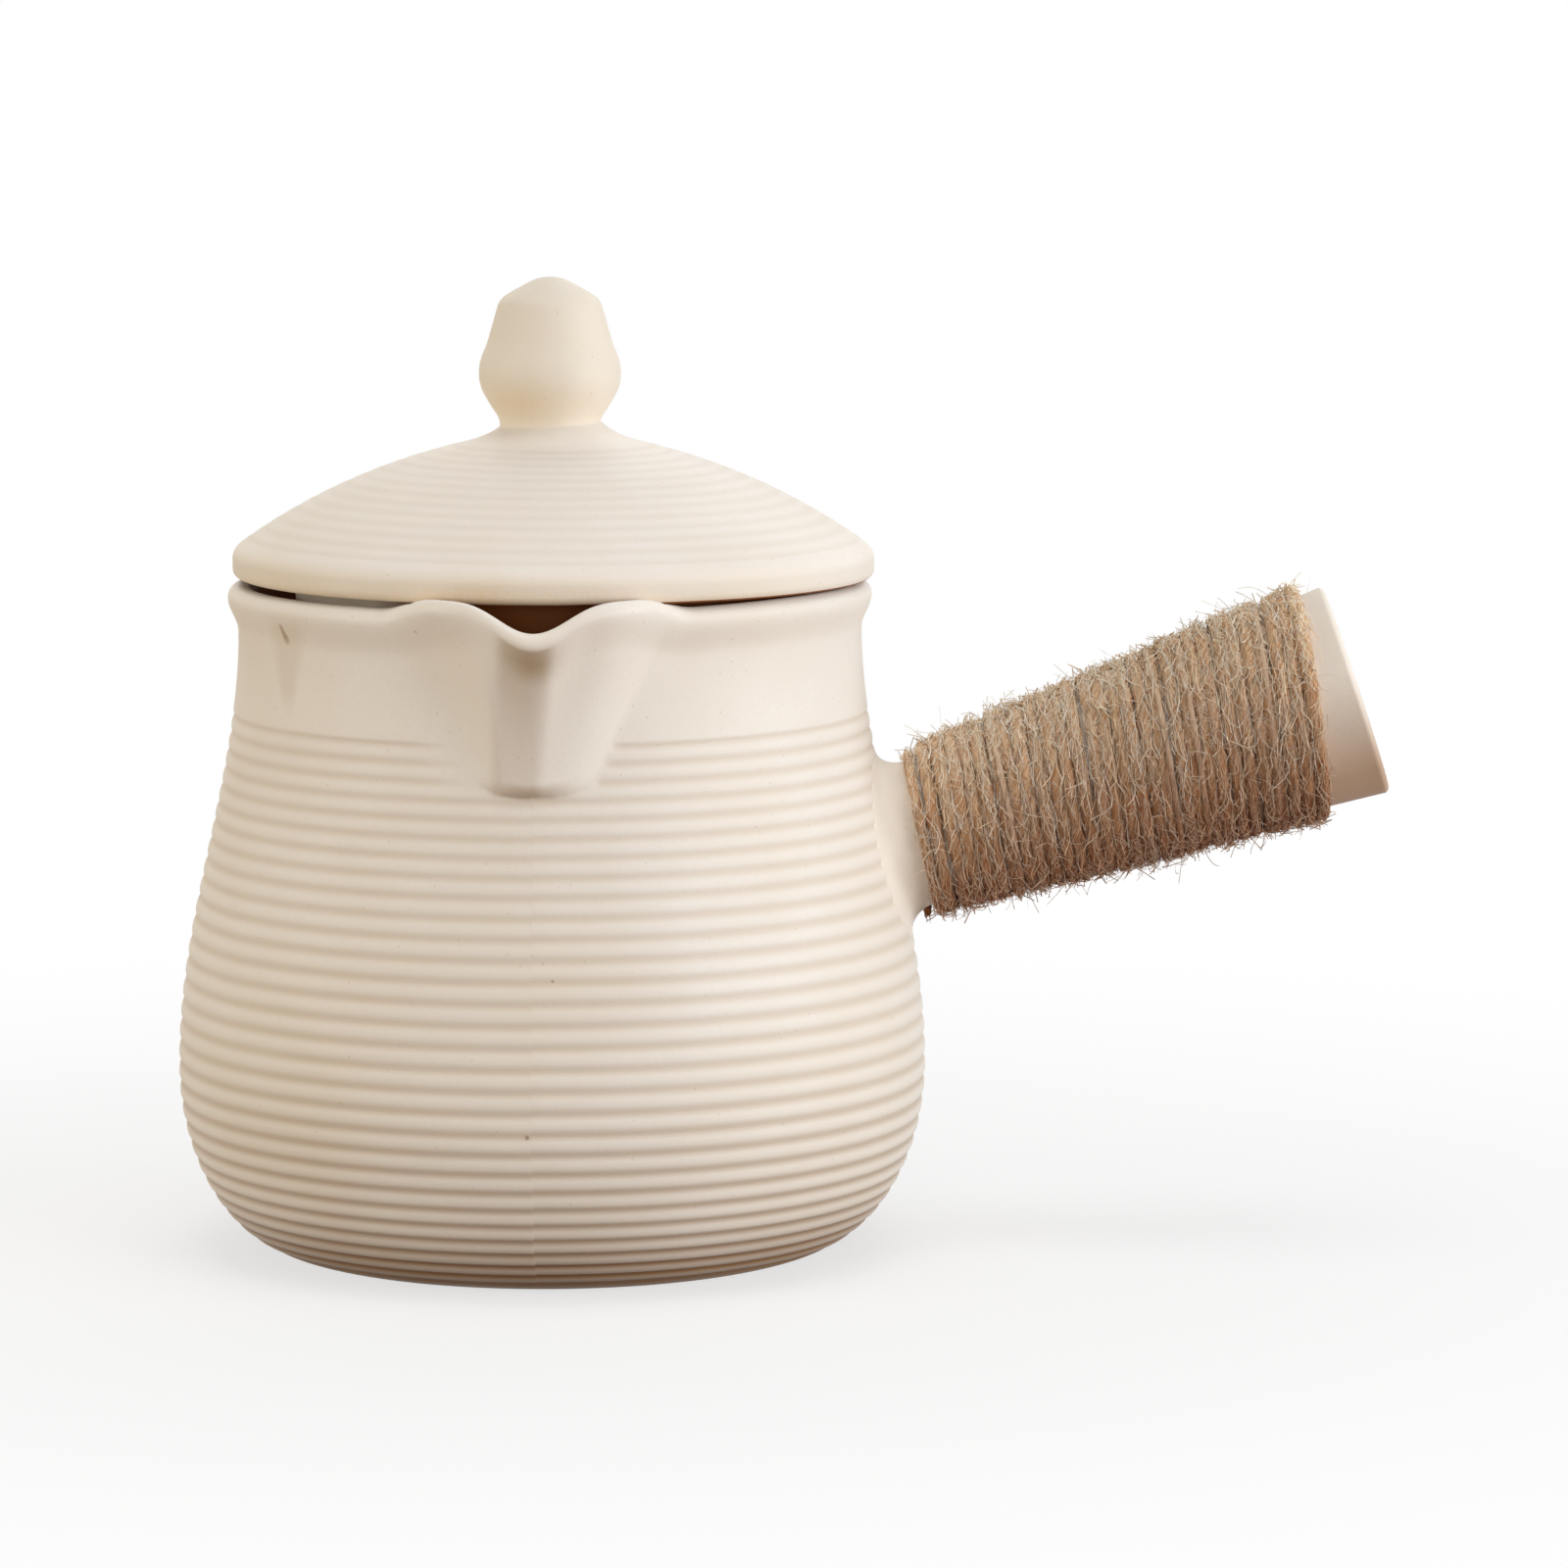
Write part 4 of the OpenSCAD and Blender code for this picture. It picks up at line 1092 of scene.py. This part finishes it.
def loose_fibres():
    bare, size = geometry_tree("Loose fibres", FIBRE_SIZES, whole=("Bends", "Seed"))
    px, py, _ = split(bare.geo("InputPosition"))
    nx, ny, _ = split(bare.geo("InputNormal"))
    from_axis = (px * px + py * py).math("SQRT")
    outward = (nx * px + ny * py) / from_axis
    points = bare.geo("DistributePointsOnFaces", {
        "Mesh": size.geometry, "Selection": outward > size.facing, "Density": size.density,
        "Seed": size.seed})
    lie = bare.node("FunctionNodeAlignRotationToVector", {
        "Rotation": points.output("Rotation"), "Vector": combine(-py, px, py * size.lean)},
        axis="X", pivot_axis="Z")
    stray = chance(bare, -1.0, 1.0, size.seed + 1)
    turned = bare.node("FunctionNodeRotateRotation", {
        "Rotation": lie, "Rotate By": bare.node("FunctionNodeAxisAngleToRotation", {
            "Axis": (0, 0, 1), "Angle": stray * stray * stray * size.stray})}, rotation_space="LOCAL")
    pool = bare.geo("GeometryToInstance")
    section = bare.geo("CurvePrimitiveCircle", {"Resolution": 3, "Radius": size.thickness / 2})
    half = size.fibre / 2
    for bend, rise in FIBRE_BENDS:
        sway = half * size.curl * bend
        curve = bare.geo("CurvePrimitiveBezierSegment", {
            "Resolution": size.bends, "Start": combine(-half, 0.0, size.thickness * -0.5),
            "Start Handle": combine(half * -0.2, sway * 2.4, size.lift * rise * 2),
            "End Handle": combine(half * 0.5, sway * -2.8, size.lift * rise * 4),
            "End": combine(half, sway, size.lift * rise * 2.5)})
        fibre = bare.geo("CurveToMesh", {"Curve": curve, "Profile Curve": section, "Fill Caps": True})
        pool.feed(pool.socket.node.inputs[0], fibre)
    pick = bare.node("FunctionNodeRandomValue", {4: 0, 5: len(FIBRE_BENDS) - 1, 8: size.seed + 3}, out=2,
                     data_type="INT")
    scale = [chance(bare, low, high, size.seed + seed)
             for low, high, seed in ((0.45, 1.5, 2), (0.6, 1.4, 6), (0.3, 1.4, 4))]
    hair = bare.geo("InstanceOnPoints", {
        "Points": points, "Instance": pool, "Pick Instance": True, "Instance Index": pick, "Rotation": turned,
        "Scale": combine(*scale)})
    hair = store(hair, "tint", chance(bare, size.tint, 1.0, size.seed + 5), domain="INSTANCE")
    # How far underneath each fibre is, which the jute's painted shade reads
    hair = store(hair, "under", (px / from_axis + 1) / 2, domain="INSTANCE")
    return end_tree(hair, size.material)


LOOSE_FIBRES = loose_fibres()
FIBRE_LAYERS = {
    "twine_nap": (7e5, 6.4 * MM, 0.15 * MM, 0.12 * MM, 0.5, 0.2, 4, 0.5, 0.1, 7, 0.2),
    "twine_fuzz": (2e5, 6.0 * MM, 0.1 * MM, 0.6 * MM, 1.5, 0.3, 7, 1.4, 0.6, 21, 0.2),
    "twine_hairs": (5.5e4, 8.0 * MM, 0.1 * MM, 1.5 * MM, 2.8, 0.5, 10, 1.2, 0.7, 33, 0.2),
}
fibre_layers = [
    grow(name, twine_winding.data.copy(), (LOOSE_FIBRES, {"Material": fibre_jute, **dict(zip(FIBRE_SIZES, sizes))}))
    for name, sizes in FIBRE_LAYERS.items()]
for piece in (twine_winding, *loose_plies, *fibre_layers):
    piece.data.transform(ON_HANDLE)

# %% [markdown]
# ## Which body carries what
#
# Every visible piece says which CAD solids it stands for, which body it moves with and which finish of the
# record it has. The pot, its lip, the handle and the winding are one body, and the lid with its knob is
# the other.

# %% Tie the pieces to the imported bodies
PIECES = (
    (pot_wall, "pot", "pot_clay", ("pot_body", "pouring_lip")),
    (handle_clay, "pot", "pot_clay", ("handle_tube",)),
    (twine_winding, "pot", "jute_twine", ("handle_twine",)),
    *((piece, "pot", "jute_twine", ()) for piece in (*loose_plies, *fibre_layers)),
    (lid_shell, "lid", "lid_clay", ("lid_dome", "lid_flange")),
    (lid_knob, "lid", "lid_clay", ("lid_knob",)),
)
for piece, body, slot, nodes in PIECES:
    if nodes:
        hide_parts(*nodes)
    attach(piece, body)
    print(piece.name, "rides on", body, "for", ", ".join(nodes) or "no solid")

# %% [markdown]
# ## Floor, light and camera
#
# The photograph is a plain product shot on white: broad neutral and bluish light from the right, a warm one
# from the left, a little from the front, above and behind, and a darker table below that shows as warm shade
# under the belly. The floor looks white to the camera, keeps a soft shadow, and throws back only a little
# warm light.

# %% Floor and world
WHITE, PAPER = (1.0, 1.0, 1.0), (0.9, 0.9, 0.9)
TABLE, SHADOW_SHARE, SHADOW_REACH, FLOOR_HALF = srgb(146, 124, 102), 0.34, 0.3, 40.0
FILL, FILL_LEVEL = (1.0, 0.97, 0.93), 0.18


def seen_directly(bare):
    """One for what the camera sees straight, by reflection or through glass."""
    path = bare.shade("LightPath", out="Is Camera Ray")
    glossy = path.math("MAXIMUM", path.output("Is Glossy Ray"))
    return glossy.math("MAXIMUM", path.output("Is Transmission Ray"))


def floor_material():
    """White to the camera, with a soft shadow near the pot only. The pot itself sees a darker table."""
    made = bpy.data.materials.new("floor_white")
    bare = shader_tree(made)
    lit = bare.shade("BsdfDiffuse", {"Color": TABLE})
    paper = bare.shade("BsdfDiffuse", {"Color": PAPER})
    glow = bare.shade("Emission", {"Color": WHITE, "Strength": 1.0})
    x, y, _ = split(bare.shade("TexCoord", out="Object"))
    far = ((x * x + y * y).math("SQRT") / SHADOW_REACH).clamp()
    white = bare.shade("MixShader", {0: (1 - ease(far)) * SHADOW_SHARE, 1: glow, 2: paper})
    both = bare.shade("MixShader", {0: seen_directly(bare), 1: lit, 2: white})
    both.close("ShaderNodeOutputMaterial", "Surface")
    return made


def studio_world():
    """White to the camera, and a weak warm fill for the pot."""
    world = bpy.data.worlds.new("studio")
    bare = shader_tree(world)
    soft = bare.shade("Background", {"Color": FILL, "Strength": FILL_LEVEL})
    white = bare.shade("Background", {"Color": WHITE, "Strength": 1.0})
    both = bare.shade("MixShader", {0: seen_directly(bare), 1: soft, 2: white})
    both.close("ShaderNodeOutputWorld", "Surface")
    return world


floor_mesh = bpy.data.meshes.new("floor")
floor_mesh.from_pydata([(x * FLOOR_HALF, y * FLOOR_HALF, 0) for x, y in ((-1, -1), (1, -1), (1, 1), (-1, 1))],
                       [], [(0, 1, 2, 3)])
floor_mesh.materials.append(floor_material())
floor = show("floor", floor_mesh)
floor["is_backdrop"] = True
bpy.context.scene.world = studio_world()
print("floor and world", floor.name, bpy.context.scene.world.name)


# %% Lamps
MIDDLE = Vector((0.02, 0, 0.06))
LAMP_DISTANCE = 1.5


def lamp(name, azimuth, height, width, watts, colour):
    """A soft square lamp around the pot: azimuth 0 is the camera's side, and + is to the right."""
    turn, lift = math.radians(azimuth), math.radians(height)
    away = Vector((math.sin(turn) * math.cos(lift), -math.cos(turn) * math.cos(lift), math.sin(lift)))
    data = bpy.data.lights.new(name, "AREA")
    data.shape, data.size, data.energy, data.color = "SQUARE", width, watts, colour
    made = show(name, data)
    made.location = MIDDLE + away * LAMP_DISTANCE
    made.rotation_euler = (-away).to_track_quat("-Z", "Y").to_euler()
    print("lamp", name, watts, "W")


lamp("right_window", 50, 9, 0.8, 10.6, (0.985, 0.98, 0.99))
lamp("right_low", 80, 5, 0.5, 9.9, (0.87, 0.945, 1.0))
lamp("left_window", -75, 7, 0.5, 9.2, (1.0, 0.94, 0.8))
lamp("top", 10, 81, 0.8, 7.0, (0.97, 0.98, 1.0))
lamp("front", -2, 7, 0.4, 2.8, (1.0, 0.98, 0.96))
lamp("back", 180, 45, 1.2, 5.4, (1.0, 0.98, 0.95))

# %% [markdown]
# The camera's place, heading and lens were solved from measured points on the pot: the knob, the lid's
# edge, the foot and the handle's end. It stands a metre off, a little above the lid, with a long lens.

# %% Camera
CAMERA_AT = Vector((0.046, -0.999, 0.189))
HEADING, PITCH, ROLL = (math.radians(v) for v in (-0.819, -7.185, -0.1))
FOCAL_PIXELS, IMAGE_PIXELS, SENSOR = 7542.0, 1600.0, 36.0

forward = Vector((math.sin(HEADING) * math.cos(PITCH), math.cos(HEADING) * math.cos(PITCH), math.sin(PITCH)))
right = Vector((math.cos(HEADING), -math.sin(HEADING), 0))
up = right.cross(forward)
turned_right = right * math.cos(ROLL) + up * math.sin(ROLL)
turned_up = up * math.cos(ROLL) - right * math.sin(ROLL)
view = bpy.data.cameras.new("view")
view.sensor_fit, view.sensor_width = "HORIZONTAL", SENSOR
view.lens = FOCAL_PIXELS / IMAGE_PIXELS * SENSOR
camera = show("view", view)
turn = Matrix((turned_right, turned_up, -forward)).transposed().to_4x4()
camera.matrix_world = Matrix.Translation(CAMERA_AT) @ turn
bpy.context.scene.camera = camera
bpy.context.scene.view_settings.view_transform = "Standard"
print("camera lens", round(view.lens, 1), "mm")

# %% [markdown]
# ## Size
#
# Dressing must not resize the part, so both boxes are printed.

# %% Print the sizes
visual_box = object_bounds()
for name, box in (("CAD", cad_box), ("visual", visual_box)):
    print(name, "box in mm", [[round(v / MM, 2) for v in corner] for corner in box])
